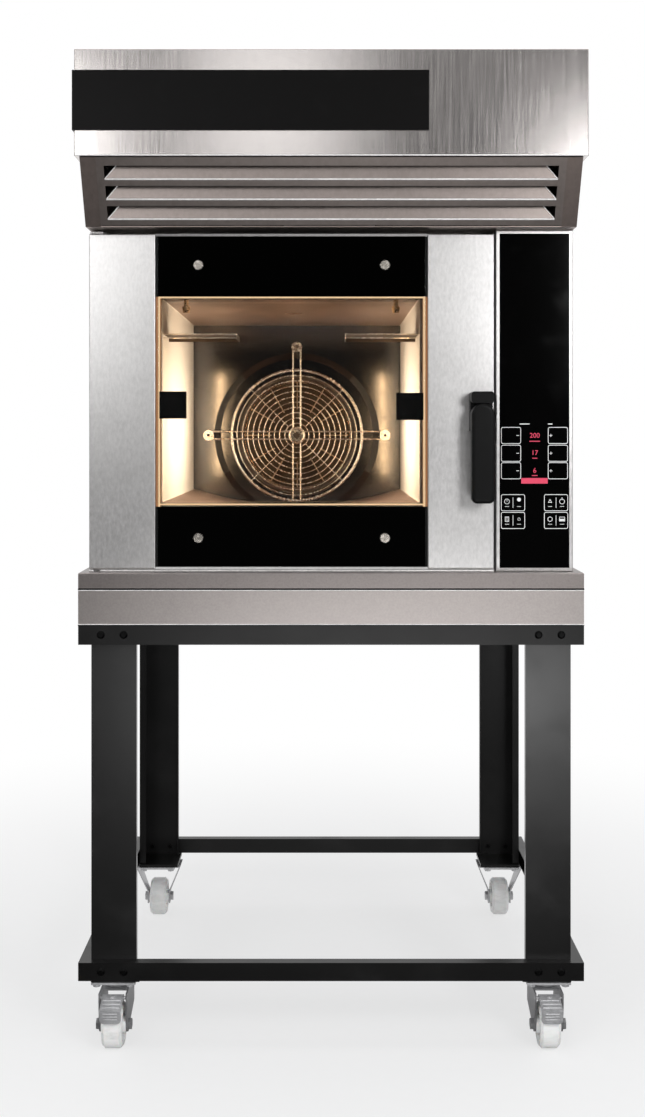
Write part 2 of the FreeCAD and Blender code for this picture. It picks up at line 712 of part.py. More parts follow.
def pedal(x, y):
    """A pressed brake pedal: a sloping plate on a pivot pin, with a lip at its front."""
    half = pedal_width / 2 - running_gap
    plate = block((-half, half), (-pedal_reach, 0), (pedal_pin_radius, pedal_pin_radius + fork_sheet))
    lip = block((-half, half), (-pedal_reach, fork_sheet - pedal_reach),
                (pedal_pin_radius + fork_sheet - pedal_lip, pedal_pin_radius + fork_sheet))
    rolled = rod("X", (-half, 0, 0), pedal_pin_radius + fork_sheet, half * 2)
    pressed = soften(fuse(plate, lip), edge_round * 4,
                     lambda middle, way: abs(way.y) > 0.5 and middle.y < -pedal_reach.value + 2
                     and middle.z < 0)
    span = fork_half + fork_sheet
    pivot = rod("X", (-span, 0, 0), pedal_pin_radius, span * 2)
    whole = turn(fuse(pressed, rolled, pivot), "X", pedal_slope)
    return place(whole, x, y + pedal_pivot_y, pedal_pivot_z)


def wheel(x, y):
    """A moulded wheel turned about its axle, with a recessed web on both faces."""
    body = new_body("tread")
    bore = axle_radius + pin_clearance
    half_web, half = wheel_web / 2, wheel_width / 2
    rim_inside = wheel_radius - wheel_rim
    right = [(hub_half, bore), (hub_half, wheel_hub_radius), (half_web, wheel_hub_radius + hub_overhang),
             (half_web, rim_inside - hub_overhang), (half, rim_inside),
             (half, wheel_radius - wheel_edge), (half - wheel_edge, wheel_radius)]
    left = [(-across, up) for across, up in reversed(right)]
    profile = outline(body, "XZ_Plane", right + left)
    turned = body.newObject("PartDesign::Revolution", "turned")
    turned.Profile = profile
    turned.ReferenceAxis = (profile, ["H_Axis"])
    return place(body, x, y, axle_level)


castor_places = {}
for end in ends:
    for side in sides:
        castor_places[end, side] = (sides[side] * leg_middle, leg_y(end)[1])

plates = []
for (end, side), (x, y) in castor_places.items():
    swivels = end == "front"
    plates.append(castor_plate(x, y, swivels))
    wheel_y = y - castor_trail if swivels else y
    node(wheel(x, wheel_y), f"{end}_{side}_wheel")
    if swivels:
        node(swivel_fork(x, y), f"front_{side}_fork")
        node(pedal(x, y), f"front_{side}_brake_pedal")
node(group(*plates), "castor_plates")
rear_places = [castor_places["rear", side] for side in sides]
rear_yokes = [rigid_fork(*spot) for spot in rear_places]
rear_axles = [axle(x, y, fork_half + fork_sheet) for x, y in rear_places]
node(group(*rear_yokes, *rear_axles), "rear_forks")


# Cavity, a box with a dished floor
dish_half = cavity_width / 2 + panel_sheet
dish_curve = (dish_half * dish_half + floor_dish * floor_dish) / (floor_dish * 2)
trough_level = cavity_floor - floor_dish


def dish_rod(y, grow):
    """The round of the dished floor between two depths."""
    length = as_size(y[1]) - y[0]
    return rod("Y", (cavity_centre, y[0], trough_level + dish_curve), dish_curve + grow, length)


def cavity_space(y, grow):
    """The room inside the cavity between two depths, grown by a wall thickness all round."""
    room = block((cavity_left - grow, cavity_right + grow), y, (trough_level - grow, cavity_ceiling + grow))
    corners = block((cavity_left - grow - 1, cavity_right + grow + 1), (y[0] - 1, y[1] + 1),
                    (trough_level - grow - 1, cavity_floor))
    return cut(room, cut(corners, dish_rod((y[0] - 2, y[1] + 2), grow)))


def fan_rod(start, radius, length):
    """A round feature on the fan's axis."""
    return rod("Y", (cavity_centre, start, fan_height), radius, length)


handle_x = door_right - handle_inset
handle_z = casing_base + handle_height
latch_z = handle_z - latch_drop
vent_x = cavity_centre
vent_y = (casing_front + baffle_front) / 2
flange_back = casing_front + panel_sheet
heater_x = cavity_centre + heater_radius * 0.5


def heater_ends(radius, start, length):
    """The heating element's two tails, which leave through the back wall."""
    lower = fan_height + heater_radius * math.sqrt(0.75)
    return [rod("Y", (heater_x, start, lower), radius, length),
            rod("Y", (heater_x - heater_radius, start, lower), radius, length)]


def cavity():
    """The sheets that the cavity is welded from: flange, walls, ceiling, dished floor and back."""
    depth = (flange_back, cavity_back)
    outer = (cavity_left - panel_sheet, cavity_right + panel_sheet)
    heights = (cavity_floor, cavity_ceiling)
    mouth = cavity_space((casing_front - 1, flange_back + 1), as_size(0))
    latch_hole = rod("Y", (handle_x, casing_front - 1, latch_z), latch_radius + latch_play, panel_sheet + 2)
    flange = cut(block((casing_left, casing_right), (casing_front, flange_back), (casing_base, casing_top)),
                 mouth, latch_hole)
    walls = [block((outer[0], cavity_left), depth, heights), block((cavity_right, outer[1]), depth, heights)]
    ceiling = cut(block(outer, depth, (cavity_ceiling, cavity_ceiling + panel_sheet)),
                  rod("Z", (vent_x, vent_y, cavity_ceiling - 1), vent_radius, panel_sheet + 2))
    slab = block(outer, depth, (trough_level - panel_sheet, cavity_floor))
    floor = cut(common(slab, dish_rod((flange_back - 1, cavity_back + 1), panel_sheet)),
                dish_rod((flange_back - 2, cavity_back + 2), as_size(0)))
    back = cut(cavity_space((cavity_back, cavity_back + panel_sheet), panel_sheet),
               fan_rod(cavity_back - 1, shaft_radius + loose_gap, panel_sheet + 2),
               *heater_ends(heater_sleeve, cavity_back - 1, panel_sheet + 2))
    return group(flange, *walls, ceiling, floor, back)


node(cavity(), "cavity")

wool_left = cavity_left - panel_sheet - insulation
wool_right = cavity_right + panel_sheet + insulation
wool = cut(block((wool_left, wool_right), (flange_back, cavity_back + panel_sheet + insulation),
                 (trough_level - panel_sheet - insulation, cavity_ceiling + panel_sheet + insulation)),
           cavity_space((flange_back - 1, cavity_back + panel_sheet), panel_sheet),
           fan_rod(cavity_back, shaft_radius * 2, insulation * 2),
           rod("Z", (vent_x, vent_y, cavity_ceiling), vent_radius, insulation * 2),
           *heater_ends(heater_sleeve, cavity_back, insulation * 2))
node(wool, "cavity_insulation")

panel_back = casing_back - panel_sheet
panel_run = (flange_back, panel_back)
full_height = (casing_base, casing_top)
between_sides = (casing_left + panel_sheet, casing_right - panel_sheet)
node(group(block((casing_left, casing_left + panel_sheet), panel_run, full_height),
           block((casing_right - panel_sheet, casing_right), panel_run, full_height)), "side_panels")
top_panel = cut(block(between_sides, panel_run, (casing_top - panel_sheet, casing_top)),
                rod("Z", (vent_x, vent_y, casing_top - panel_sheet * 2), vent_radius, panel_sheet * 3))
node(top_panel, "top_panel")
node(block(between_sides, panel_run, (casing_base, casing_base + panel_sheet)), "base_panel")

# Cable gland low on the back, behind the control column
gland_x = casing_right - control_width / 2
gland_z = casing_base + gland_radius * 4
rear_panel = cut(block((casing_left, casing_right), (panel_back, casing_back), full_height),
                 fan_rod(panel_back - 1, shaft_radius + loose_gap, panel_sheet + 2),
                 rod("Y", (gland_x, panel_back - 1, gland_z), gland_bore * 1.2, panel_sheet + 2),
                 *heater_ends(heater_sleeve, panel_back - 1, panel_sheet + 2))
node(rear_panel, "rear_panel")

gland_body = fuse(hexagon("Y", (gland_x, casing_back, gland_z), gland_radius, gland_length * 0.3),
                  rod("Y", (gland_x, casing_back, gland_z), gland_radius * 0.82, gland_length * 0.6),
                  cone("Y", (gland_x, casing_back + gland_length * 0.6, gland_z), gland_radius * 0.9,
                       gland_radius * 0.7, gland_length * 0.4))
gland_hole = rod("Y", (gland_x, casing_back - 1, gland_z), gland_bore, gland_length + 2)
node(cut(gland_body, gland_hole), "cable_gland")


def motor_cover():
    """A folded box over the fan motor with cooling slots in its back."""
    half_x, half_z = cover_width / 2, cover_height / 2
    x = (cavity_centre - half_x, cavity_centre + half_x)
    z = (fan_height - half_z, fan_height + half_z)
    back = casing_back + cover_depth
    outer = soften(block(x, (casing_back, back), z), edge_round * 2,
                   lambda middle, way: near(middle.y, back))
    hollow = block((x[0] + panel_sheet, x[1] - panel_sheet), (casing_back - 1, back - panel_sheet),
                   (z[0] + panel_sheet, z[1] - panel_sheet))
    slots = [block((cavity_centre - cover_width * 0.35, cavity_centre + cover_width * 0.35),
                   (back - panel_sheet * 2, back + 1),
                   (fan_height + step * cover_height / 12, fan_height + (step + 0.35) * cover_height / 12))
             for step in range(-4, 4)]
    return cut(outer, hollow, group(*slots))


node(motor_cover(), "motor_cover")
motor = cut(fuse(fan_rod(casing_back, motor_radius, motor_length),
                 fan_rod(casing_back, motor_radius * 1.3, panel_sheet * 3)),
            fan_rod(casing_back - 1, shaft_radius + pin_clearance, motor_length * 0.75))
node(cut(motor, *heater_ends(heater_sleeve * 1.5, casing_back - 1, panel_sheet * 4)), "fan_motor")
node(cut(rod("Z", (vent_x, vent_y, cavity_ceiling), vent_radius, casing_top + vent_rise - cavity_ceiling),
         rod("Z", (vent_x, vent_y, cavity_ceiling - 1), vent_radius - panel_sheet,
             casing_top + vent_rise - cavity_ceiling + 2)), "vent_pipe")


def fan_baffle():
    """A sheet across the cavity and the spun ring around its round air inlet."""
    full = cavity_space((baffle_front, baffle_front + baffle_sheet), as_size(0))
    dish_front = baffle_front - dish_rise
    height = dish_rise + baffle_sheet
    raised = cone("Y", (cavity_centre, dish_front, fan_height),
                  dish_radius - dish_slope, dish_radius, height)
    formed = common(raised, cavity_space((dish_front, baffle_front + baffle_sheet), as_size(0)))
    behind = cone("Y", (cavity_centre, dish_front + baffle_sheet, fan_height),
                  dish_radius - dish_slope - baffle_sheet, dish_radius - baffle_sheet, height)
    inlet = fan_rod(dish_front - 1, inlet_radius, height + 2)
    return group(cut(full, raised), cut(formed, behind, inlet))


node(fan_baffle(), "fan_baffle")

guard_plane = baffle_front - guard_stand_off
guard_rings = 10
guard_arm_start = guard_arm_gap / 2 + guard_arm_wire * 1.5


def guard_arm(way_x, way_z, reach):
    """A pair of parallel wires from the guard's centre disc outwards."""
    wires = []
    length = reach - guard_arm_start
    for step in (-0.5, 0.5):
        offset = guard_arm_gap * step
        if way_x:
            start = cavity_centre + guard_arm_start if way_x > 0 else cavity_centre - reach
            wires.append(rod("X", (start, guard_plane, fan_height + offset), guard_arm_wire, length))
        else:
            start = fan_height + guard_arm_start if way_z > 0 else fan_height - reach
            wires.append(rod("Z", (cavity_centre + offset, guard_plane, start), guard_arm_wire, length))
    return wires


def guard_foot(way_x, way_z):
    """The round end of an arm, the hole in it, and the shouldered stud that holds it off the baffle."""
    x = cavity_centre + way_x * guard_arm_reach
    z = fan_height + way_z * guard_arm_reach
    washer_front = guard_plane - guard_arm_wire * 1.25
    washer_back = guard_plane + guard_arm_wire * 1.25
    head_front = washer_front - guard_arm_wire
    washer = rod("Y", (x, washer_front, z), guard_arm_gap / 2 + guard_arm_wire * 1.75, guard_arm_wire * 2.5)
    hole = rod("Y", (x, washer_front - 1, z), guard_stud_radius, guard_arm_wire * 2.5 + 2)
    stud = fuse(rod("Y", (x, head_front, z), guard_stud_radius * 2, guard_arm_wire),
                rod("Y", (x, head_front, z), guard_stud_radius, baffle_front - head_front),
                rod("Y", (x, washer_back, z), guard_stud_radius * 1.5, baffle_front - washer_back))
    return washer, hole, stud


def fan_guard():
    wire_plane = guard_plane + guard_arm_wire * 0.85
    rings = [ring("Y", (cavity_centre, wire_plane, fan_height), guard_radius, guard_rim_wire)]
    for step in range(1, guard_rings + 1):
        rings.append(ring("Y", (cavity_centre, wire_plane, fan_height), guard_radius - guard_pitch * step,
                          guard_wire))
    arms = guard_arm(0, -1, guard_radius)
    holes = []
    studs = []
    for way_x, way_z in ((-1, 0), (1, 0), (0, 1)):
        washer, hole, stud = guard_foot(way_x, way_z)
        arms += guard_arm(way_x, way_z, guard_arm_reach) + [washer]
        holes.append(hole)
        studs.append(stud)
    boss = fan_rod(guard_plane - guard_arm_wire * 1.5, guard_boss_radius, guard_arm_wire * 3)
    welded = fuse(*rings, *arms, boss)
    welded.Refine = False
    return group(cut(welded, group(*holes)), *studs)


node(fan_guard(), "fan_guard")

fan_back = cavity_back - (fan_chamber - fan_blade_depth) / 2


def fan_wheel():
    """A back plate with straight radial blades and a hub on the shaft."""
    plate = fan_rod(fan_back - fan_blade_sheet, fan_radius, fan_blade_sheet)
    hub = fan_rod(fan_back - fan_blade_depth, fan_hub_radius, fan_blade_depth)
    body = new_body("blades")
    half = fan_blade_sheet / 2
    inner = fan_radius * 0.5
    corners = [(inner, -half), (fan_radius, -half), (fan_radius, half), (inner, half)]
    blade = pad(body, outline(body, "XZ_Plane", corners), fan_blade_depth, reversed_way=True)
    doc.recompute()
    spread = body.newObject("PartDesign::PolarPattern", "spread")
    spread.Originals = [blade]
    spread.Axis = (origin_plane(body, "Y_Axis"), [""])
    spread.Angle = 360
    bind(spread, "Occurrences", fan_blade_count)
    body.Tip = spread
    place(body, cavity_centre, fan_back - fan_blade_depth, fan_height)
    bore = fan_rod(fan_back - fan_blade_depth - 1, shaft_radius, fan_blade_depth + 2)
    return cut(fuse(plate, hub, body), bore)


fan_shaft = fan_rod(fan_back - fan_blade_depth, shaft_radius,
                    casing_back + motor_length * 0.7 - fan_back + fan_blade_depth)
node(group(fan_wheel(), fan_shaft), "fan_wheel")

heater_front = baffle_front + baffle_sheet + fan_chamber * 0.3
heater_loops = [ring("Y", (cavity_centre, heater_front + step * heater_tube * 4, fan_height), heater_radius,
                     heater_tube) for step in (0, 1)]
heater_start = heater_front - heater_sleeve * 1.5
heater_tails = heater_ends(heater_sleeve, heater_start, casing_back - heater_start)
node(fuse(*heater_loops, *heater_tails), "heating_element")


# Plates and studs in the front of the cavity
shade_top = cavity_ceiling - shade_drop
shade_y = (casing_front + shade_inset, casing_front + shade_inset + shade_depth)


def shade_plate(side):
    """A level sheet on a side wall with its free edge turned down."""
    wall = cavity_left if side < 0 else cavity_right
    edge = wall - side * shade_reach
    x = ordered(wall, edge)
    lip_x = ordered(edge, edge + side * panel_sheet)
    sheet_part = block(x, shade_y, (shade_top - panel_sheet, shade_top))
    lip = block(lip_x, shade_y, (shade_top - shade_lip, shade_top))
    rear_lip = block(x, (shade_y[1] - panel_sheet, shade_y[1]), (shade_top - shade_lip, shade_top))
    return fuse(sheet_part, lip, rear_lip)


def ceiling_stud(side):
    """A short knob that hangs from the cavity ceiling."""
    wall = cavity_left if side < 0 else cavity_right
    spot = (wall - side * stud_inset, shade_y[0] + stud_radius, cavity_ceiling - stud_length)
    neck = rod("Z", spot, stud_radius * 0.6, stud_length)
    return fuse(neck, cone("Z", spot, stud_radius * 0.8, stud_radius, stud_length / 2))


node(group(*[shade_plate(side) for side in sides.values()]), "air_shades")
node(group(*[ceiling_stud(side) for side in sides.values()]), "ceiling_studs")

gasket_y = (door_back + running_gap, casing_front)
node(cut(cavity_space(gasket_y, gasket_width), cavity_space((door_back - 1, casing_front + 1), as_size(1))),
     "door_seal")

# Door planes
left_stile_inner = door_left + stile_width
right_stile_inner = door_right - stile_width
glass_left = left_stile_inner + glass_gap
glass_right = right_stile_inner - glass_gap
glass_front = door_front + glass_recess
glass_back = glass_front + glass_sheet
glass_bottom = door_bottom + trim_height
glass_top = door_top - trim_height
glass_middle_x = (glass_left + glass_right) / 2
glass_middle_z = (glass_bottom + glass_top) / 2
window_bottom = glass_bottom + band_height
window_top = glass_top - band_height
hinge_x = door_left + hinge_inset
hinge_y = door_front + hinge_depth
inner_glass_front = door_back - inner_glass_sheet


def door_stile(x, holes):
    """A folded hollow stile with a solid block at each end."""
    shell = soften(block(x, (door_front, door_back), (door_bottom, door_top)), edge_round,
                   lambda middle, way: abs(way.z) > 0.5 or near(middle.y, door_front))
    hollow = block((x[0] + panel_sheet, x[1] - panel_sheet),
                   (door_front + panel_sheet, door_back - panel_sheet),
                   (door_bottom + stile_cap, door_top - stile_cap))
    return cut(shell, hollow, *holes)


def hinge_rod(start, radius, length):
    return rod("Z", (hinge_x, hinge_y, start), radius, length)


pin_low = casing_base + loose_gap
pin_high = door_top + loose_gap + bracket_sheet
pin_holes = [hinge_rod(door_bottom - 1, hinge_pin_radius + pin_clearance, stile_cap + 1),
             hinge_rod(door_top - stile_cap, hinge_pin_radius + pin_clearance, stile_cap + 1)]
node(door_stile((door_left, left_stile_inner), pin_holes), "door_left_stile")
spindle_hole = rod("Y", (handle_x, door_front - 1, handle_z), spindle_radius + pin_clearance,
                   panel_sheet + 2)
latch_seat = rod("Y", (handle_x, door_back - panel_sheet * 2, latch_z), latch_radius, panel_sheet * 3)
node(door_stile((right_stile_inner, door_right), [spindle_hole, latch_seat]), "door_right_stile")
node(group(hinge_rod(pin_low, hinge_pin_radius, door_bottom + hinge_pin_grip - pin_low),
           hinge_rod(door_top - hinge_pin_grip, hinge_pin_radius, pin_high + hinge_pin_grip - door_top)),
     "hinge_pins")


def hinge_bracket(level):
    """A tongue that stands out of the casing front and carries a hinge pin."""
    tongue = block((hinge_x - hinge_inset, hinge_x - hinge_inset + bracket_width),
                   (hinge_y - bracket_width / 2, casing_front), (level, level + bracket_sheet))
    rounded = soften(tongue, bracket_width * 0.3,
                     lambda middle, way: abs(way.z) > 0.5 and middle.y < hinge_y.value)
    return cut(rounded, hinge_rod(level - 1, hinge_pin_radius + pin_clearance, bracket_sheet + 2))


node(group(hinge_bracket(pin_low), hinge_bracket(door_top + loose_gap)), "hinge_brackets")


def screw_places():
    for way_x in (-0.5, 0.5):
        for way_z in (-0.5, 0.5):
            yield glass_middle_x + screw_spread_x * way_x, glass_middle_z + screw_spread_z * way_z


def door_rail(z):
    """A hollow rail between the stiles, behind one dark band of the glass."""
    x, y = (left_stile_inner, right_stile_inner), (glass_back, inner_glass_front)
    hollow = block((x[0] - 1, x[1] + 1), (y[0] + panel_sheet, y[1] - panel_sheet),
                   (z[0] + panel_sheet, z[1] - panel_sheet))
    holes = [rod("Y", (screw_x, y[0] - 1, screw_z), screw_radius + pin_clearance, screw_length)
             for screw_x, screw_z in screw_places()]
    return cut(block(x, y, z), hollow, group(*holes))


node(group(door_rail((window_top, door_top)), door_rail((door_bottom, window_bottom))), "door_rails")
outer_pane = soften(block((glass_left, glass_right), (glass_front, glass_back), (glass_bottom, glass_top)),
                    edge_round / 4, lambda middle, way: near(middle.y, glass_front))
pane_holes = [rod("Y", (x, glass_front - 1, z), screw_radius + pin_clearance * 4, glass_sheet + 2)
              for x, z in screw_places()]
node(cut(outer_pane, group(*pane_holes)), "door_outer_glass")
node(block((left_stile_inner, right_stile_inner), (inner_glass_front, door_back), (door_bottom, door_top)),
     "door_inner_glass")


def glass_screw(x, z):
    """A slotted screw with a shallow domed head."""
    shank = rod("Y", (x, glass_front, z), screw_radius, screw_length)
    head = cone("Y", (x, glass_front - screw_head_height, z), screw_head_radius * 0.85, screw_head_radius,
                screw_head_height)
    slot = block((x - screw_head_radius, x + screw_head_radius),
                 (glass_front - screw_head_height * 2, glass_front - screw_head_height * 0.5),
                 (z - screw_head_height * 0.3, z + screw_head_height * 0.3))
    return cut(fuse(shank, head), slot)


node(group(*[glass_screw(x, z) for x, z in screw_places()]), "door_glass_screws")


def door_trim(z_outer, z_glass):
    """A bevelled steel strip that closes the glass above or below."""
    x = (left_stile_inner, right_stile_inner)
    if z_outer.value > z_glass.value:
        return upright_wedge(x, (glass_front, glass_back), x, (door_front, glass_back), (z_glass, z_outer))
    return upright_wedge(x, (door_front, glass_back), x, (glass_front, glass_back), (z_outer, z_glass))


node(group(door_trim(door_top, glass_top), door_trim(door_bottom, glass_bottom)), "door_trims")


def door_lamp(side):
    """A lamp strip standing at one side of the window, between its two panes."""
    wall = left_stile_inner if side < 0 else right_stile_inner
    x = ordered(wall, wall - side * lamp_width)
    y = (glass_back + panel_sheet, glass_back + panel_sheet + lamp_depth)
    return block(x, y, (window_bottom, window_top))


node(group(*[door_lamp(side) for side in sides.values()]), "door_lamps")

# Handle planes, measured forward from the door's outer face
base_front = door_front - handle_base_depth
cap_front = door_front - handle_cap_depth
lever_face = door_front - lever_front
lever_back = base_front - running_gap
lever_half = lever_width / 2
lever_low = handle_z - lever_reach
spindle_front = lever_face + lever_front / 4


def handle_rod(start, radius, length):
    return rod("Y", (handle_x, start, handle_z), radius, length)


def handle_base():
    """A moulded plate on the stile, with a cap above the lever's round head."""
    x = (handle_x - handle_base_width / 2, handle_x + handle_base_width / 2)
    plate = block(x, (base_front, door_front), (handle_z - handle_base_below, handle_z + handle_base_above))
    cap = block(x, (cap_front, base_front),
                (handle_z + lever_half + running_gap, handle_z + handle_base_above))
    moulded = soften(fuse(plate, cap), lever_round,
                     lambda middle, way: abs(way.y) > 0.5 and middle.z > handle_z.value + 1
                     or near(middle.y, cap_front) and near(middle.z, handle_z + handle_base_above))
    return cut(moulded, handle_rod(base_front - 1, spindle_radius + pin_clearance, handle_base_depth + 2))


node(handle_base(), "handle_base")


def handle_lever():
    """A drop lever with a round head on the spindle and a finger gap behind its grip."""
    x = (handle_x - lever_half, handle_x + lever_half)
    blank = fuse(block(x, (lever_face, lever_back), (lever_low, handle_z)),
                 handle_rod(lever_face, lever_half, lever_back - lever_face))
    rounded = soften(blank, lever_round * 1.6,
                     lambda middle, way: abs(way.y) > 0.5 and near(middle.z, lever_low))
    finger_space = block((x[0] - 1, x[1] + 1), (door_front - finger_gap, door_front),
                         (lever_low - 1, handle_z - handle_base_below))
    shaped = soften(cut(rounded, finger_space), lever_round,
                    lambda middle, way: near(middle.y, lever_face))
    return cut(shaped, handle_rod(spindle_front, spindle_radius, lever_front))


node(handle_lever(), "handle_lever")

cam_back = door_back - panel_sheet - cam_sheet
spindle = fuse(handle_rod(spindle_front, spindle_radius, cam_back - spindle_front),
               handle_rod(cam_back - cam_sheet, cam_radius, cam_sheet),
               block((handle_x - cam_radius * 2, handle_x), (cam_back - cam_sheet, cam_back),
                     (handle_z - spindle_radius, handle_z + spindle_radius)))
node(spindle, "handle_spindle")
roller = fuse(rod("Y", (handle_x, door_back - panel_sheet, latch_z), latch_radius,
                  panel_sheet + latch_length),
              rod("Y", (handle_x, door_back - panel_sheet * 3, latch_z), latch_radius * 2,
                  panel_sheet * 2))
node(roller, "latch_roller")
keeper_half = latch_radius + latch_play * 3
keeper = cut(block((handle_x - keeper_half, handle_x + keeper_half),
                   (flange_back, flange_back + latch_length),
                   (latch_z - keeper_half, latch_z + keeper_half)),
             rod("Y", (handle_x, flange_back - 1, latch_z), latch_radius + latch_play, latch_length + 2))
node(keeper, "latch_keeper")

# Control column to the right of the door
control_x = (casing_right - control_width, casing_right)
panel_x = (control_x[0] + control_rim, control_x[1] - control_rim)
panel_z = (casing_base + control_rim, casing_top - control_rim)
panel_front = door_front + running_gap
panel_rear = panel_front + control_glass_sheet


def control_housing():
    """A folded box on the casing front, open behind, with a rim round the control glass."""
    shell = soften(block(control_x, (door_front, casing_front), full_height), edge_round,
                   lambda middle, way: near(middle.y, door_front))
    hollow = block((control_x[0] + panel_sheet, control_x[1] - panel_sheet), (panel_rear, casing_front + 1),
                   (casing_base + panel_sheet, casing_top - panel_sheet))
    return cut(shell, hollow, block(panel_x, (door_front - 1, panel_rear + 1), panel_z))


node(control_housing(), "control_housing")
node(block(panel_x, (panel_front, panel_rear), panel_z), "control_glass")
board_front = panel_rear + board_gap
board_x = (panel_x[0] + control_rim, panel_x[1] - control_rim)
board_z = (panel_z[0] + control_rim, panel_z[0] + control_rim + board_height)
post_spots = [(x, z) for x in (board_x[0] + control_rim, board_x[1] - control_rim)
              for z in (board_z[0] + control_rim, board_z[1] - control_rim)]
board_posts = [rod("Y", (x, panel_rear, z), control_rim / 2, board_gap) for x, z in post_spots]
node(fuse(block(board_x, (board_front, board_front + board_sheet), board_z), *board_posts), "control_board")

# Hood
hood_front = door_front - hood_overhang
slope_top = door_front - skirt_top_ahead
slope_foot = door_front - skirt_bottom_ahead
slope_run = skirt_top_ahead - skirt_bottom_ahead
slope_length = (slope_run * slope_run + skirt_height * skirt_height).root()
slope_angle = (slope_run / skirt_height).arctangent()
hood_half = hood_width / 2
flue_y = casing_back - collar_back


def flue_rod(start, radius, length):
    return rod("Z", (0, flue_y, start), radius, length)


def hood_box():
    """The hood's upper box, with a lip turned in round its open bottom."""
    whole = block((-hood_half, hood_half), (hood_front, casing_back), (hood_box_level, hood_top))
    outer = soften(whole, edge_round,
                   lambda middle, way: near(middle.y, hood_front) or near(middle.z, hood_top))
    hollow = block((panel_sheet - hood_half, hood_half - panel_sheet),
                   (hood_front + panel_sheet, casing_back - panel_sheet),
                   (hood_box_level + panel_sheet, hood_top - panel_sheet))
    opening = block((casing_left + strip_width, casing_right - strip_width),
                    (slope_top + strip_width, casing_back - strip_width),
                    (hood_box_level - 1, hood_box_level + panel_sheet * 2))
    outlet = flue_rod(hood_top - panel_sheet * 2, collar_radius + panel_sheet, panel_sheet * 3)
    return cut(outer, hollow, opening, outlet)


node(hood_box(), "hood_box")


def on_slope(feature):
    """Lean a feature that was made upright back into the hood's sloping front."""
    return place(turn(group(feature), "X", slope_angle), 0, slope_foot, casing_top)


slope_reach = slope_length - panel_sheet
heights = (casing_top, hood_box_level)
skirt_parts = [block((casing_left, casing_right), (casing_back - panel_sheet, casing_back), heights),
               block((casing_left, casing_right), (slope_foot, casing_front),
                     (casing_top, casing_top + panel_sheet))]
for side in sides.values():
    x = ordered(side * casing_right, side * (casing_right - panel_sheet))
    strip_x = ordered(side * casing_right, side * (casing_right - strip_width))
    skirt_parts.append(upright_wedge(x, (slope_foot, casing_back), x, (slope_top, casing_back), heights))
    skirt_parts.append(on_slope(block(strip_x, (0, panel_sheet), (0, slope_reach))))
node(fuse(*skirt_parts), "hood_skirt")


louvre_half = casing_right - strip_width - louvre_margin


def louvre_blade(lip):
    """A trapezoid blade that leans inwards from its lip."""
    blade = doc.addObject("Part::Wedge", "blade")
    top_half = louvre_half - louvre_taper
    bounds = {
        "Xmin": -louvre_half, "Xmax": louvre_half, "X2min": -top_half, "X2max": top_half,
        "Ymin": 0, "Ymax": louvre_height, "Zmin": -panel_sheet, "Zmax": 0, "Z2min": -panel_sheet, "Z2max": 0,
    }
    for prop, amount in bounds.items():
        setattr(blade, prop, as_size(amount).value)
    for prop, amount in bounds.items():
        bind(blade, prop, amount)
    place(turn(blade, "X", 90 - louvre_lean), 0, 0, lip)
    rolled = rod("X", (-louvre_half, 0, lip), panel_sheet, louvre_half * 2)
    return [blade, rolled]


def louvre_panel():
    half = casing_right - strip_width
    lips = [louvre_first + louvre_pitch * step for step in range(louvre_count)]
    plate = block((-half, half), (0, panel_sheet), (panel_sheet * 2, slope_reach))
    slots = [block((-louvre_half, louvre_half), (-1, panel_sheet + 1), (lip, lip + louvre_height))
             for lip in lips]
    blades = [piece for lip in lips for piece in louvre_blade(lip)]
    return on_slope(fuse(cut(plate, group(*slots)), *blades))


node(louvre_panel(), "hood_louvre_panel")

plate_left = -hood_half - plate_sheet
plate_z = (hood_box_level + plate_rise, hood_box_level + plate_rise + plate_height)
node(fuse(block((plate_left, plate_left + plate_length), (hood_front - plate_sheet, hood_front), plate_z),
          block((plate_left, -hood_half), (hood_front - plate_sheet, hood_front + plate_wrap), plate_z)),
     "hood_front_plate")
node(cut(fuse(flue_rod(hood_top, collar_radius, collar_height),
              flue_rod(hood_top, collar_radius * 1.2, panel_sheet * 2)),
         flue_rod(hood_top - 1, collar_radius - panel_sheet, collar_height + 2)), "flue_collar")

hood_motor_top = casing_top + hood_motor_height
hood_fan_level = hood_motor_top + running_gap * 10
node(cut(fuse(flue_rod(casing_top, hood_motor_radius, hood_motor_height),
              flue_rod(casing_top, hood_motor_radius * 1.3, panel_sheet * 3)),
         flue_rod(hood_motor_top - hood_motor_height / 2, shaft_radius + pin_clearance, hood_motor_height)),
     "hood_fan_motor")


def hood_fan():
    """An extractor wheel with upright blades on its shaft."""
    body = new_body("upright_blades")
    half = fan_blade_sheet / 2
    inner = hood_fan_radius * 0.55
    corners = [(inner, -half), (hood_fan_radius, -half), (hood_fan_radius, half), (inner, half)]
    blade = pad(body, outline(body, "XY_Plane", corners), hood_fan_height)
    doc.recompute()
    spread = body.newObject("PartDesign::PolarPattern", "spread")
    spread.Originals = [blade]
    spread.Axis = (origin_plane(body, "Z_Axis"), [""])
    spread.Angle = 360
    bind(spread, "Occurrences", fan_blade_count)
    body.Tip = spread
    place(body, 0, flue_y, hood_fan_level)
    plate = flue_rod(hood_fan_level, hood_fan_radius, fan_blade_sheet)
    hub = flue_rod(hood_fan_level, fan_hub_radius, hood_fan_height / 2)
    shaft_start = hood_motor_top - hood_motor_height * 0.45
    shaft = flue_rod(shaft_start, shaft_radius, hood_fan_level + hood_fan_height / 2 - shaft_start)
    return fuse(plate, hub, body, shaft)


node(hood_fan(), "hood_fan_wheel")


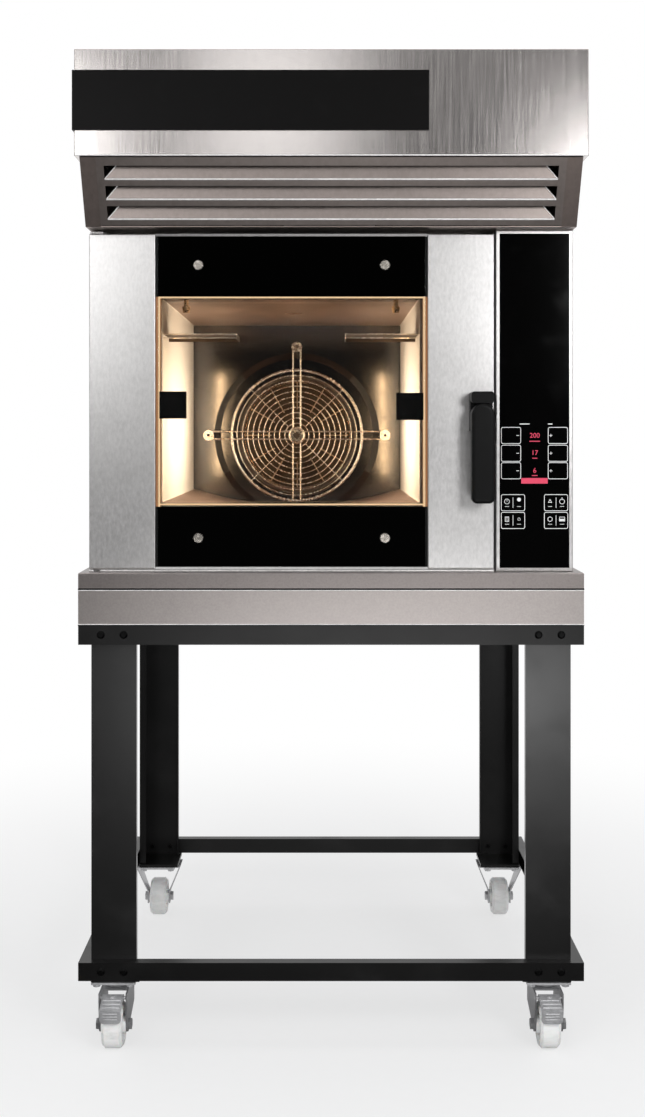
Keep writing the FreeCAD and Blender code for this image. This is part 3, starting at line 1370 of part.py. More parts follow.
doc.recompute()
for feature in doc.Objects:
    if {"Invalid", "Error"} & set(feature.State):
        raise RuntimeError(f"{feature.Label} failed: {feature.State}")
for feature in nodes:
    if feature.Shape.isNull() or not feature.Shape.isValid() or not feature.Shape.Solids:
        raise RuntimeError(f"{feature.Label} has no valid shape")

os.makedirs("parts", exist_ok=True)
for feature in nodes:
    feature.Shape.exportStep(f"parts/{feature.Label}.step")
print(len(nodes), "pieces written")
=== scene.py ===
import math
import bpy
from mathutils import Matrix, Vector


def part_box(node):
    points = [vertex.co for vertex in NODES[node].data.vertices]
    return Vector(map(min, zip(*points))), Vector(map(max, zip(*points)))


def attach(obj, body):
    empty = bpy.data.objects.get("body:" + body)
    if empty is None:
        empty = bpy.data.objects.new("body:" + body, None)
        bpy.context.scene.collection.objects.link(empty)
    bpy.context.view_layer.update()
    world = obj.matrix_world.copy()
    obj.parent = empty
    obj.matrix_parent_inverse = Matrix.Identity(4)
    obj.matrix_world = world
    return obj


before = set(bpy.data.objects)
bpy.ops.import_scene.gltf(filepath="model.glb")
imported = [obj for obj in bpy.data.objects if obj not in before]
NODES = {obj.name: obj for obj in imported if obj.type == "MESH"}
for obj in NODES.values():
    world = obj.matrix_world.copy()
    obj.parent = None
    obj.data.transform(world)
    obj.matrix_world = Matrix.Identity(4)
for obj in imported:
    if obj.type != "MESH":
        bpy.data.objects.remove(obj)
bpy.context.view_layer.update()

bl_info = {
    "name": "Convection oven dressing",
    "version": (1, 0, 0),
    "blender": (4, 5, 0),
    "location": "View3D > Sidebar > Oven",
    "description": "Finishes and small pieces of a convection oven with its hood and castor stand",
    "category": "Object",
}

# A quarter turn, and the turn that stands a flat shape up to face the front
QUARTER = math.pi / 2
FRONT = (QUARTER, 0, 0)

# The cavity in metres: its left, right, floor and ceiling inside, its middle, the fan's axis and disc
CAVITY_INSIDE = (-0.3075, 0.1615, 0.9645, 1.3335)
CAVITY_MIDDLE = -0.073
FAN_LEVEL = 1.085
FAN_DISC = 0.3575

# The cavity's steel: what heat does to its colour, its floor and ceiling, its walls (a pale copy of the
# steel, painted lit) and its flange
HEAT_TINT = (0.92, 0.80, 0.68)
BROWNED_STEEL = (0.26, 0.18, 0.145, 1.0)
# The walls' colour: a pale matt copy of the cavity steel, painted lit so that the glow lamps make them
# white
PAINTED_LIT_WALL = (0.78, 0.75, 0.70, 1.0)
FLANGE_STEEL = (0.50, 0.485, 0.475, 1.0)


def length(name, description, default):
    return bpy.props.FloatProperty(name=name, description=description, default=default, unit="LENGTH")


def colour(name, description, default):
    return bpy.props.FloatVectorProperty(
        name=name, description=description, default=default, subtype="COLOR", size=3, min=0, max=1)


def power(name, description, default):
    return bpy.props.FloatProperty(name=name, description=description, default=default, unit="POWER")


class OvenSizes(bpy.types.PropertyGroup):
    """Sizes of the small pieces that dress the oven."""

    key_width: length("Key width", "Width of an outlined key beside the display", 0.0355)
    wide_key_width: length("Wide key width", "Width of a key with two icons", 0.0427)
    key_height: length("Key height", "Height of an outlined key", 0.0298)
    key_corner: length("Key corner", "Corner radius of the key outlines", 0.0036)
    line_width: length("Line width", "Width of the printed outlines", 0.0010)
    print_depth: length("Print depth", "Thickness of the printed marks", 0.00012)
    digit_height: length("Digit height", "Letter size of the display's digits", 0.0122)
    icon_radius: length("Icon radius", "Half the size of a key's icon", 0.0048)
    mark_side: length("Glass square", "Side of the dark squares on the door glass", 0.0485)
    frame_line: length("Window line", "Width of the bright line round the window", 0.0030)
    spoke_radius: length("Spoke radius", "Wire radius of the guard's slanting spokes", 0.0011)
    hem_radius: length("Hem radius", "Radius of the rolled edges of the louvre blades", 0.0017)
    rib_radius: length("Rib radius", "Radius of the pressed ribs on the castor brakes", 0.0013)
    screw_radius: length("Panel screw radius", "Head radius of the casing's screws", 0.0045)
    plate_bolt_radius: length("Castor bolt radius", "Corner radius of the castor bolts' heads", 0.0075)


class OvenColours(bpy.types.PropertyGroup):
    """Colours of the oven's finishes."""

    door_steel: colour("Door steel", "Brushed steel of door and control column", (0.63, 0.62, 0.615))
    hood_steel: colour("Hood steel", "Brushed steel of the hood's upper box", (0.60, 0.565, 0.55))
    # A darker, browner copy of the hood's steel: painted shade and a painted reflection of a dark room
    louvre_steel: colour("Louvre steel", "Brushed steel of the hood's louvred panel", (0.32, 0.277, 0.258))
    # A darker, browner copy of the door's steel: painted shade
    band_steel: colour("Band steel", "Brushed steel of the stand's lower band", (0.40, 0.365, 0.352))
    cavity_steel: colour("Cavity steel", "Polished steel inside the cavity", (0.56, 0.41, 0.31))
    powder_coat: colour("Powder coat", "Black paint of the stand", (0.0045, 0.0043, 0.0043))
    zinc: colour("Zinc plate", "Plated castor metal", (0.62, 0.62, 0.63))
    nylon: colour("Nylon", "White castor wheels", (0.84, 0.84, 0.825))
    plastic: colour("Handle plastic", "Black moulded handle", (0.004, 0.004, 0.004))
    dark_glass: colour("Dark glass", "Back-painted control glass", (0.0008, 0.0008, 0.0008))
    print_white: colour("White print", "Outlines and icons on the control glass", (0.80, 0.80, 0.80))
    display_red: colour("Display red", "Lit digits of the display", (0.80, 0.045, 0.12))
    lamp: colour("Lamp", "Warm light of the door lamps", (1.0, 0.66, 0.36))
    glow: colour("Glow", "Warm light on the cavity's walls", (1.0, 0.80, 0.60))


class OvenStage(bpy.types.PropertyGroup):
    """Camera and studio light."""

    camera_distance: length("Camera distance", "Camera to the door's outer face", 2.5)
    camera_height: length("Camera height", "Camera above the floor", 1.0857)
    camera_side: length("Camera side", "Camera to the right of the oven's middle", -0.0151)
    lens: bpy.props.FloatProperty(name="Lens", description="Focal length in millimetres", default=45.35)
    shift: bpy.props.FloatProperty(name="Shift", description="Vertical shift of the lens", default=-0.1106)
    front_power: power("Front light", "Power of the light above the camera", 1.5)
    left_power: power("Left light", "Power of the left soft light", 8.3)
    right_power: power("Right light", "Power of the right soft light", 16)
    low_power: power("Low light", "Power of the fill light below the camera", 8)
    top_power: power("Top light", "Power of the light above the oven", 20)
    lamp_power: power("Cavity light", "Power of each lamp at the door", 0.5)
    glow_power: power("Wall glow", "Power of the glow on each cavity wall", 2.0)


class Value:
    """An output of a material's nodes. Arithmetic on it adds Math nodes."""

    def __init__(self, tree, socket):
        self.tree = tree
        self.socket = socket

    def add(self, kind, settings=None, inputs=None, output=0):
        """Add any node: its settings first, then the values or links of its sockets."""
        node = self.tree.nodes.new(kind)
        for name, setting in (settings or {}).items():
            setattr(node, name, setting)
        for name, amount in (inputs or {}).items():
            if isinstance(amount, Value):
                self.tree.links.new(amount.socket, node.inputs[name])
            else:
                node.inputs[name].default_value = amount
        return Value(self.tree, node.outputs[output]) if node.outputs else None

    def math(self, operation, first, second):
        return self.add("ShaderNodeMath", {"operation": operation}, {0: first, 1: second})

    def __add__(self, other):
        return self.math("ADD", self, other)

    __radd__ = __add__

    def __mul__(self, other):
        return self.math("MULTIPLY", self, other)

    __rmul__ = __mul__

    def __sub__(self, other):
        return self.math("SUBTRACT", self, other)

    def __rsub__(self, other):
        return self.math("SUBTRACT", other, self)

    def between(self, low, high):
        """0 below low, 1 above high, smooth in between."""
        return self.add("ShaderNodeMapRange", {"interpolation_type": "SMOOTHSTEP"},
                        {"Value": self, "From Min": low, "From Max": high})

    def beyond(self, low, high):
        """1 outside a range and 0 inside it."""
        return 1 - self.between(low, low + 0.003) * (1 - self.between(high - 0.003, high))

    def along(self, axis):
        """One part of this vector: 0 for x, 1 for y and 2 for z."""
        return self.add("ShaderNodeSeparateXYZ", None, {"Vector": self}, output=axis)

    def mix(self, low, high):
        """The colour low where this is 0, and high where it is 1."""
        return self.add("ShaderNodeMix", {"data_type": "RGBA"}, {0: self, 6: low, 7: high}, output=2)

    def noise(self, scale, detail=2.0, roughness=0.55):
        """Cloudy noise over this vector."""
        return self.add("ShaderNodeTexNoise", None,
                        {"Vector": self, "Scale": scale, "Detail": detail, "Roughness": roughness})

    def stretched(self, scale):
        """This vector with its axes scaled."""
        return self.add("ShaderNodeMapping", None, {"Vector": self, "Scale": scale})

    def bump(self, strength, distance):
        """A normal raised where this is high."""
        return self.add("ShaderNodeBump", None,
                        {"Height": self, "Strength": strength, "Distance": distance})


def opaque(tint, factor=1.0):
    """A colour with its alpha, made lighter or darker."""
    return tuple(min(1.0, channel * factor) for channel in tint) + (1.0,)


def new_finish(name):
    """A material with empty nodes, and the object coordinates that its patterns follow."""
    material = bpy.data.materials.new(name)
    material.use_nodes = True
    tree = material.node_tree
    tree.nodes.clear()
    place = tree.nodes.new("ShaderNodeTexCoord").outputs["Object"]
    return material, Value(tree, place)


def surface(material, place, inputs):
    """Close a material with a Principled shader."""
    shader = place.add("ShaderNodeBsdfPrincipled", None, inputs)
    place.add("ShaderNodeOutputMaterial", None, {"Surface": shader})
    return material


def steel_finish(name, tint, roughness, grain, cloud):
    """Brushed stainless sheet. grain gives the fineness of the brushing along each axis."""
    material, place = new_finish(name)
    lines = place.stretched(grain).noise(1.0, 4.0, 0.65)
    clouds = place.noise(5.0, 3.0)
    marks = place.noise(70.0, 4.0, 0.7)
    worn = (lines * 0.55 + clouds * 0.25 + marks * 0.20).between(0.28, 0.72)
    return surface(material, place, {
        "Base Color": worn.mix(opaque(tint, 1 - cloud), opaque(tint, 1 + cloud)),
        "Metallic": 1.0,
        "Roughness": roughness - 0.06 + 0.16 * lines + 0.05 * clouds,
        "Normal": lines.bump(0.05, 0.0004),
    })


def paint_finish(name, tint, roughness, grain, strength, dust, gloss=0.3):
    """Sprayed paint, moulded plastic or print with a fine grain and a little dust."""
    material, place = new_finish(name)
    peel = place.noise(grain, 2.0)
    dusty = place.noise(9.0, 4.0, 0.6).between(0.45, 0.85)
    return surface(material, place, {
        "Base Color": dusty.mix(opaque(tint), opaque(tint, dust)),
        "Roughness": roughness + 0.10 * dusty + 0.06 * peel,
        "Specular IOR Level": gloss,
        "Normal": peel.bump(strength, 0.0003),
    })


def plated_finish(name, tint, roughness, metal=1.0):
    """Plated or polished metal with faint clouds and spots. A dull plating is less metallic."""
    material, place = new_finish(name)
    spots = place.noise(160.0, 3.0)
    clouds = place.noise(18.0, 3.0)
    worn = (0.5 * spots + 0.5 * clouds).between(0.32, 0.70)
    return surface(material, place, {
        "Base Color": worn.mix(opaque(tint, 0.80), opaque(tint, 1.08)),
        "Metallic": metal,
        "Roughness": roughness + 0.14 * worn,
        "Normal": spots.bump(0.04, 0.0004),
    })


def cavity_finish(name, tint, roughness, heated=HEAT_TINT, room=None):
    """Polished cavity steel with heat tints and wiping marks. room gives the cavity's left, right, floor,
    ceiling and front: its walls are a pale matt copy of the steel, painted lit so that the glow lamps
    make them white, its floor and ceiling browned, its flange brushed."""
    material, place = new_finish(name)
    heat = place.noise(6.0, 3.0, 0.6).between(0.30, 0.75)
    wipes = place.stretched((14.0, 14.0, 110.0)).noise(1.0, 4.0, 0.7)
    tinted = tuple(channel * shade for channel, shade in zip(tint, heated))
    inputs = {
        "Base Color": heat.mix(opaque(tint), opaque(tinted)),
        "Metallic": 1.0,
        "Roughness": roughness + 0.12 * wipes,
        "Normal": wipes.bump(0.04, 0.0006),
    }
    if room:
        left, right, floor, ceiling, front = room
        inside = place.along(1).between(front + 0.003, front + 0.006)
        walls = place.along(0).beyond(left, right) * inside
        browned = place.along(2).beyond(floor, ceiling) * inside * (1 - walls)
        polished = browned.mix(inputs["Base Color"], BROWNED_STEEL)
        # The walls take the pale copy of the steel: painted lamp glare
        interior = walls.mix(polished, PAINTED_LIT_WALL)
        inputs["Base Color"] = inside.mix(FLANGE_STEEL, interior)
        inputs["Metallic"] = 1 - 0.85 * walls - 0.45 * browned
        inputs["Roughness"] = inputs["Roughness"] + 0.25 * walls + 0.22 * browned + 0.15 * (1 - inside)
    return surface(material, place, inputs)


def fan_finish(name, tint, roughness, disc):
    """Fan steel, clean on the blades and darker towards the disc behind them: painted shade deep between
    the blades.
    """
    material, place = new_finish(name)
    # Darker towards the disc behind the blades: painted shade
    deep_shade = place.along(1).between(disc - 0.012, disc - 0.001)
    grime = place.noise(60.0, 3.0).between(0.35, 0.70)
    return surface(material, place, {
        "Base Color": deep_shade.mix(grime.mix(opaque(tint), opaque(tint, 0.7)), opaque(tint, 0.12)),
        "Metallic": 1 - 0.3 * deep_shade,
        "Roughness": roughness + 0.15 * deep_shade + 0.08 * grime,
    })


def nylon_finish(name, tint):
    """Moulded nylon with soft scuffs."""
    material, place = new_finish(name)
    scuffs = place.stretched((30.0, 90.0, 90.0)).noise(1.0, 4.0, 0.65).between(0.40, 0.80)
    fine = place.noise(600.0, 2.0)
    return surface(material, place, {
        "Base Color": scuffs.mix(opaque(tint), opaque(tint, 0.80)),
        "Roughness": 0.32 + 0.20 * scuffs,
        "Subsurface Weight": 0.08,
        "Subsurface Scale": 0.004,
        "Normal": fine.bump(0.05, 0.0003),
    })


def pane_finish(name, tint):
    """Clear tempered glass with faint wiping marks."""
    material, place = new_finish(name)
    wipes = place.noise(7.0, 4.0, 0.6).between(0.45, 0.80)
    return surface(material, place, {
        "Base Color": wipes.mix(opaque(tint), opaque(tint, 0.97)),
        "Roughness": 0.004 + 0.012 * wipes,
        "IOR": 1.45,
        "Transmission Weight": 1.0,
    })


def gloss_finish(name, tint, roughness, gloss):
    """Back-painted glass or enamelled panel with faint finger marks."""
    material, place = new_finish(name)
    prints = place.noise(26.0, 5.0, 0.65).between(0.50, 0.80)
    return surface(material, place, {
        "Base Color": prints.mix(opaque(tint), opaque(tint, 1.6)),
        "Roughness": roughness + 0.04 * prints,
        "Specular IOR Level": gloss,
    })


def lit_finish(name, tint, strength):
    """A lit display mark or lamp, a little uneven."""
    material, place = new_finish(name)
    uneven = place.noise(240.0, 2.0)
    glow = uneven.mix(opaque(tint, 0.86), opaque(tint))
    return surface(material, place, {
        "Base Color": uneven.mix(opaque(tint, 0.10), opaque(tint, 0.14)),
        "Roughness": 0.45,
        "Emission Color": glow,
        "Emission Strength": strength,
    })


def wool_finish(name, tint):
    """Yellow mineral wool with loose fibres."""
    material, place = new_finish(name)
    fibres = place.stretched((220.0, 60.0, 500.0)).noise(1.0, 5.0, 0.7)
    return surface(material, place, {
        "Base Color": fibres.mix(opaque(tint, 0.6), opaque(tint)),
        "Roughness": 0.95,
        "Normal": fibres.bump(0.6, 0.003),
    })


def board_finish(name, tint):
    """Solder mask with paler tracks."""
    material, place = new_finish(name)
    tracks = place.stretched((300.0, 300.0, 40.0)).noise(1.0, 1.0).between(0.50, 0.54)
    return surface(material, place, {
        "Base Color": tracks.mix(opaque(tint), opaque(tint, 1.7)),
        "Roughness": 0.35 + 0.2 * tracks,
    })


def make_finishes(colours):
    """Every finish of the oven by its name, from its maker, its colour and its other settings."""
    upright = (420.0, 420.0, 9.0)
    grained = (260.0, 260.0, 260.0)
    coarse = (120.0, 120.0, 90.0)
    sprayed = (900.0, 0.12, 1.9)
    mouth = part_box("cavity")[0].y
    table = {
        "door_steel": (steel_finish, colours.door_steel, 0.31, (210.0, 210.0, 90.0), 0.12),
        "hood_steel": (steel_finish, colours.hood_steel, 0.19, upright, 0.09),
        # The louvre panel: a darker copy of the steel, painted shade
        "louvre_steel": (steel_finish, colours.louvre_steel, 0.36, coarse, 0.10),
        # The skirt: a darker, browner copy of the hood's steel, painted shade
        "skirt_steel": (steel_finish, (0.29, 0.24, 0.22), 0.38, coarse, 0.10),
        # A near-white copy of the steel for thin edges of the louvre, hood and stand: painted highlights
        "hem_steel": (plated_finish, (0.92, 0.90, 0.89), 0.40, 0.5),
        # The stand's band: a darker copy of the steel, painted shade
        "band_steel": (steel_finish, colours.band_steel, 0.34, grained, 0.12),
        # The stand's top: a still darker copy of the same steel, painted shade
        "top_steel": (steel_finish, (0.27, 0.243, 0.234), 0.34, grained, 0.12),
        "casing_steel": (steel_finish, (0.50, 0.485, 0.475), 0.36, upright, 0.08),
        "cavity_steel": (cavity_finish, colours.cavity_steel, 0.16, HEAT_TINT, (*CAVITY_INSIDE, mouth)),
        # Dark finish of the deflector plates and of the guard's nut and screw recesses: painted shade on
        # steel parts
        "shade_steel": (plated_finish, (0.07, 0.05, 0.037), 0.45, 0.7),
        "fan_steel": (fan_finish, (0.60, 0.42, 0.26), 0.26, FAN_DISC),
        # The back wall: a near-black copy of the cavity steel, painted dark as shade
        "baffle_steel": (cavity_finish, (0.105, 0.103, 0.103), 0.06, (1.1, 1.08, 1.05)),
        "stud_steel": (plated_finish, (0.55, 0.36, 0.21), 0.26),
        # Bright steel of the guard, pins and screws, also used for the painted highlights on the deflector
        # plates' edges
        "bright_steel": (plated_finish, (0.86, 0.80, 0.72), 0.18),
        "heater_steel": (cavity_finish, (0.20, 0.17, 0.15), 0.38),
        "zinc": (plated_finish, colours.zinc, 0.40, 0.55),
        "fork_zinc": (plated_finish, (0.46, 0.46, 0.47), 0.36, 0.85),
        "cast_metal": (paint_finish, (0.20, 0.21, 0.22), 0.50, 400.0, 0.25, 1.2),
        "powder_coat": (paint_finish, colours.powder_coat, 0.26, *sprayed, 0.75),
        "rail_coat": (paint_finish, colours.powder_coat, 0.30, *sprayed, 0.32),
        "bolt_black": (paint_finish, (0.001, 0.001, 0.001), 0.35, *sprayed, 0.12),
        # Black paint of the door's rails, and also the painted shadow of the stand's gap strips
        "inner_black": (paint_finish, (0.002, 0.002, 0.002), 0.55, *sprayed),
        "handle_plastic": (paint_finish, colours.plastic, 0.32, 1400.0, 0.22, 1.5, 0.12),
        "seal_rubber": (paint_finish, (0.34, 0.30, 0.26), 0.60, 700.0, 0.2, 0.9),
        "nylon": (nylon_finish, colours.nylon),
        "clear_glass": (pane_finish, (0.97, 0.98, 0.975)),
        "dark_glass": (gloss_finish, colours.dark_glass, 0.06, 0.3),
        "dark_plate": (gloss_finish, (0.0022, 0.002, 0.002), 0.40, 0.10),
        "lamp": (lit_finish, (0.55, 0.24, 0.09), 0.5),
        # A line that glows though it is no lamp: painted highlight round the window
        "warm_line": (lit_finish, (1.0, 0.70, 0.40), 0.9),
        "display_red": (lit_finish, colours.display_red, 0.9),
        "print_white": (paint_finish, colours.print_white, 0.45, 900.0, 0.05, 0.9),
        "wool": (wool_finish, (0.62, 0.55, 0.30)),
        "board": (board_finish, (0.03, 0.16, 0.07)),
    }
    return {name: make(name, *settings) for name, (make, *settings) in table.items()}


NODE_FINISHES = {
    "door_steel": ("door_left_stile", "door_right_stile", "control_housing", "hinge_brackets",
                   "door_trims"),
    "hood_steel": ("hood_box",),
    "louvre_steel": ("hood_louvre_panel",),
    "skirt_steel": ("hood_skirt",),
    "band_steel": ("stand_apron",),
    "top_steel": ("stand_top",),
    "casing_steel": ("side_panels", "top_panel", "base_panel", "rear_panel", "motor_cover", "flue_collar"),
    "cavity_steel": ("cavity", "vent_pipe"),
    "baffle_steel": ("fan_baffle",),
    "shade_steel": ("air_shades",),
    "fan_steel": ("fan_wheel",),
    "stud_steel": ("ceiling_studs",),
    "bright_steel": ("fan_guard", "hinge_pins", "door_glass_screws"),
    "heater_steel": ("heating_element",),
    "zinc": ("castor_plates", "front_left_brake_pedal", "front_right_brake_pedal", "handle_spindle",
             "latch_roller", "latch_keeper", "hood_fan_wheel"),
    "fork_zinc": ("rear_forks", "front_left_fork", "front_right_fork"),
    "cast_metal": ("fan_motor", "hood_fan_motor"),
    "powder_coat": ("front_legs",),
    "rail_coat": ("rear_legs", "upper_rails", "lower_rails"),
    "bolt_black": ("frame_bolts",),
    "inner_black": ("door_rails",),
    "handle_plastic": ("handle_base", "handle_lever", "cable_gland"),
    "seal_rubber": ("door_seal",),
    "nylon": ("front_left_wheel", "front_right_wheel", "rear_left_wheel", "rear_right_wheel"),
    "clear_glass": ("door_outer_glass", "door_inner_glass"),
    "dark_glass": ("control_glass",),
    "dark_plate": ("hood_front_plate",),
    "lamp": ("door_lamps",),
    "wool": ("cavity_insulation",),
    "board": ("control_board",),
}


def deselect():
    bpy.ops.object.select_all(action="DESELECT")


def settle(name):
    """Name the active object and put its place into its mesh."""
    piece = bpy.context.object
    piece.name = name
    piece.data.name = name
    bpy.ops.object.transform_apply(location=True, rotation=True, scale=True)
    return piece


def choose(*pieces):
    """Select these pieces alone. The last one is active."""
    deselect()
    for piece in pieces:
        piece.select_set(True)
    bpy.context.view_layer.objects.active = pieces[-1]


def apply_modifier(piece, kind, **settings):
    """Add a modifier with its settings and apply it."""
    choose(piece)
    modifier = piece.modifiers.new(kind.lower(), kind)
    for name, setting in settings.items():
        setattr(modifier, name, setting)
    bpy.ops.object.modifier_apply(modifier=modifier.name)


def join(name, pieces):
    """Make one piece of several."""
    choose(*pieces)
    if len(pieces) > 1:
        bpy.ops.object.join()
    piece = bpy.context.object
    piece.name = name
    piece.data.name = name
    return piece


def copies(piece, offsets):
    """Copies of a piece, each with its own mesh, moved by each offset. The first piece is removed."""
    made = []
    for offset in offsets:
        choose(piece)
        bpy.ops.object.duplicate(linked=False)
        bpy.ops.transform.translate(value=offset)
        made.append(settle(piece.name + ".copy"))
    choose(piece)
    bpy.ops.object.delete()
    return made


def dress(piece, finish, body):
    """Give a finished piece its material and its body."""
    piece.data.materials.clear()
    piece.data.materials.append(bpy.data.materials[finish])
    choose(piece)
    bpy.ops.object.shade_smooth_by_angle(angle=math.radians(35))
    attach(piece, body)
    return piece


def rounded_block(name, low, high, edge):
    """A block between two corners with rounded edges."""
    low, high = Vector(low), Vector(high)
    deselect()
    bpy.ops.mesh.primitive_cube_add(size=1, location=(low + high) / 2, scale=high - low)
    piece = settle(name)
    apply_modifier(piece, "BEVEL", width=edge, segments=3, limit_method="NONE")
    return piece


def thicken(depth):
    """In edit mode: give a flat front-facing sheet its thickness behind its face."""
    bpy.ops.mesh.select_all(action="SELECT")
    bpy.ops.mesh.extrude_region_move(TRANSFORM_OT_translate={"value": (0, depth, 0)})
    bpy.ops.mesh.select_all(action="SELECT")
    bpy.ops.mesh.normals_make_consistent(inside=False)


def hollow_out(line):
    """In edit mode: leave only a border of the chosen face."""
    bpy.ops.mesh.inset(thickness=line)
    bpy.ops.mesh.delete(type="FACE")


def plate(name, centre, width, height, depth, corner=0.0, line=0.0):
    """A thin front-facing plate with round corners, or only its outline where line is given."""
    deselect()
    bpy.ops.mesh.primitive_plane_add(size=1, location=centre, rotation=FRONT)
    bpy.context.object.scale = (width, height, 1)
    piece = settle(name)
    bpy.ops.object.mode_set(mode="EDIT")
    bpy.ops.mesh.select_all(action="SELECT")
    if corner:
        bpy.ops.mesh.bevel(offset=corner, segments=5, affect="VERTICES")
        bpy.ops.mesh.select_all(action="SELECT")
    if line:
        hollow_out(line)
    thicken(depth)
    bpy.ops.object.mode_set(mode="OBJECT")
    return piece


def disc(name, centre, radius, depth, corners=28, line=0.0, point=None):
    """A thin front-facing disc or ring. point moves its top corners up, for a drop."""
    deselect()
    bpy.ops.mesh.primitive_circle_add(
        vertices=corners, radius=radius, fill_type="NGON", location=centre, rotation=FRONT)
    piece = settle(name)
    if point:
        crown = centre[2] + radius * 0.98
        for vertex in piece.data.vertices:
            vertex.select = vertex.co.z > crown
        piece.data.update()
        bpy.ops.object.mode_set(mode="EDIT")
        bpy.ops.transform.translate(value=(0, 0, point))
    else:
        bpy.ops.object.mode_set(mode="EDIT")
    bpy.ops.mesh.select_all(action="SELECT")
    if line:
        hollow_out(line)
    thicken(depth)
    bpy.ops.object.mode_set(mode="OBJECT")
    return piece


def star(name, centre, radius, depth, line):
    """The thin front-facing outline of a star with five points."""
    deselect()
    bpy.ops.mesh.primitive_circle_add(
        vertices=10, radius=radius, fill_type="NGON", location=centre, rotation=FRONT)
    piece = settle(name)
    for index, vertex in enumerate(piece.data.vertices):
        vertex.select = index % 2 == 1
    for face in piece.data.polygons:
        face.select = False
    bpy.ops.object.mode_set(mode="EDIT")
    bpy.ops.transform.resize(value=(0.45, 0.45, 0.45), center_override=centre)
    bpy.ops.mesh.select_all(action="SELECT")
    hollow_out(line)
    thicken(depth)
    bpy.ops.object.mode_set(mode="OBJECT")
    return piece


def digits(name, centre, words, height, depth):
    """Front-facing digits made a mesh."""
    deselect()
    bpy.ops.object.text_add(location=centre, rotation=FRONT)
    text = bpy.context.object.data
    text.body = words
    text.size = height
    text.align_x = "CENTER"
    text.align_y = "CENTER"
    text.extrude = depth / 2
    bpy.ops.object.convert(target="MESH")
    return settle(name)


def wire(name, start, end, radius, sides=10):
    """A straight round wire with softened ends."""
    start, end = Vector(start), Vector(end)
    run = end - start
    turn = run.to_track_quat("Z", "Y").to_euler()
    deselect()
    bpy.ops.mesh.primitive_cylinder_add(
        vertices=sides, radius=radius, depth=run.length, location=(start + end) / 2, rotation=turn)
    piece = settle(name)
    apply_modifier(piece, "BEVEL", width=radius * 0.4, segments=2, limit_method="ANGLE")
    return piece


# The control glass: its face, the columns and rows of its keys and its readouts, in metres
GLASS_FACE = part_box("control_glass")[0].y
KEY_COLUMNS = (0.3199, 0.4032)
KEY_ROWS = (1.0848, 1.0532, 1.0221)
WIDE_COLUMNS = (0.3234, 0.3999)
WIDE_ROWS = (0.9653, 0.9338)
MINUS_COLUMN = 0.3319
MINUS_WIDTH = 0.0048
PLUS_COLUMN = 0.3907
PLUS_WIDTH = 0.0050
DASHES = ((0.3440, 0.018), (0.3895, 0.008))
DASH_LEVEL = 1.1052
DASH_HEIGHT = 0.0016
DASH_CORNER = 0.0007
ICON_LIFT = 0.0022
READOUTS = (("200", 1.0845, 1.0745, 0.019), ("17", 1.0537, 1.0444, 0.009), ("6", 1.0222, 1.0136, 0.010))
READOUT_MIDDLE = 0.3620
UNDERLINE_HEIGHT = 0.0014
BAR_PLACE = (0.3616, 1.0042)
BAR_SIZE = (0.0470, 0.0098)
BAR_CORNER = 0.0004

# The door's window: its dark squares, its lower and upper line, and how far the side lines pass them
SQUARE_PLACES = ((-0.2815, 1.1390), (0.1405, 1.1365))
SQUARE_GAP = 0.0001
SQUARE_DEPTH = 0.0004
SQUARE_CORNER = 0.0012
WINDOW_LEVELS = (0.9605, 1.3320)
LINE_REACH = 0.0115
LINE_INSET = 0.0006
LINE_GAP = 0.0002
LINE_DEPTH = 0.0011
LINE_EDGE = 0.0004

# The fan's guard: its screws and slanting spokes from the axis, the level of the spokes, hub and nuts, and
# the dark discs painted as shade in the screws' recesses
GUARD_REACH = 0.199
SPOKE_REACH = (0.026, 0.147)
SPOKE_LEVEL = 0.0084
HUB_RADIUS = 0.0165
HUB_WIRE = 0.0030
NUT_RADIUS = 0.0075
NUT_RISE = 0.0012
NUT_DEPTH = 0.0030
RECESS_RADIUS = 0.0034
RECESS_RISE = 0.0002
RECESS_DEPTH = 0.0006

# The width of the deflector plates
SHADE_REACH = 0.135

# The hood's sloping front: its upper and lower edge, the louvre lips along it, the blades' margin and ends
SLOPE_TOP = -0.490
SLOPE_FOOT = -0.426
LOUVRE_LIPS = (0.0145, 0.0510, 0.0875)
LOUVRE_MARGIN = 0.013
BLADE_END = (0.020, 0.0005, 0.0236)
HEM_INSET = 0.002

# The stand's bands: the sill under the door, painted light, and the dark strips above and below the lower
# band, painted shadow in its gaps
SILL_HEIGHT = 0.0032
SILL_FRONT = 0.001
SILL_BACK = 0.026
SILL_EDGE = 0.0008
SHADOW_STEP = 0.0004
SHADOW_LAP = 0.0002
UPPER_SHADOW = 0.0030
LOWER_SHADOW = 0.0018

# The brake pedal from the side, as y and z: its back, its fold and its lip, then the ribs on each part
PEDAL_BACK = (-0.40415, 0.09637)
PEDAL_FOLD = (-0.44645, 0.08424)
PEDAL_LIP = (-0.43928, 0.05925)
RIB_ROWS = (
    (PEDAL_BACK, PEDAL_FOLD, (0.34, 0.56, 0.78), 0.0155),
    (PEDAL_FOLD, PEDAL_LIP, (0.22, 0.44, 0.66), 0.0125),
)
RIVET_FOOT = (-0.41015, 0.09367)
RIVET_TOP = (-0.41105, 0.09687)
RIVET_RADIUS = 0.0042

# The castors: their places, and their bolts from each place and under the feet
CASTOR_SIDE = 0.385
CASTOR_ROWS = (-0.355, 0.305)
BOLT_SIDE = 0.030
BOLT_ROW = 0.041
FEET_UNDERSIDE = 0.114
BOLT_HEIGHT = 0.005
BOLT_EDGE = 0.0008

# The casing's screws: their distance from the panels' edges and their columns
SCREW_INSET = 0.03
REAR_INSET = 0.025
REAR_COLUMNS = (-0.2, 0.0, 0.2)
SIDE_COLUMN = 0.04


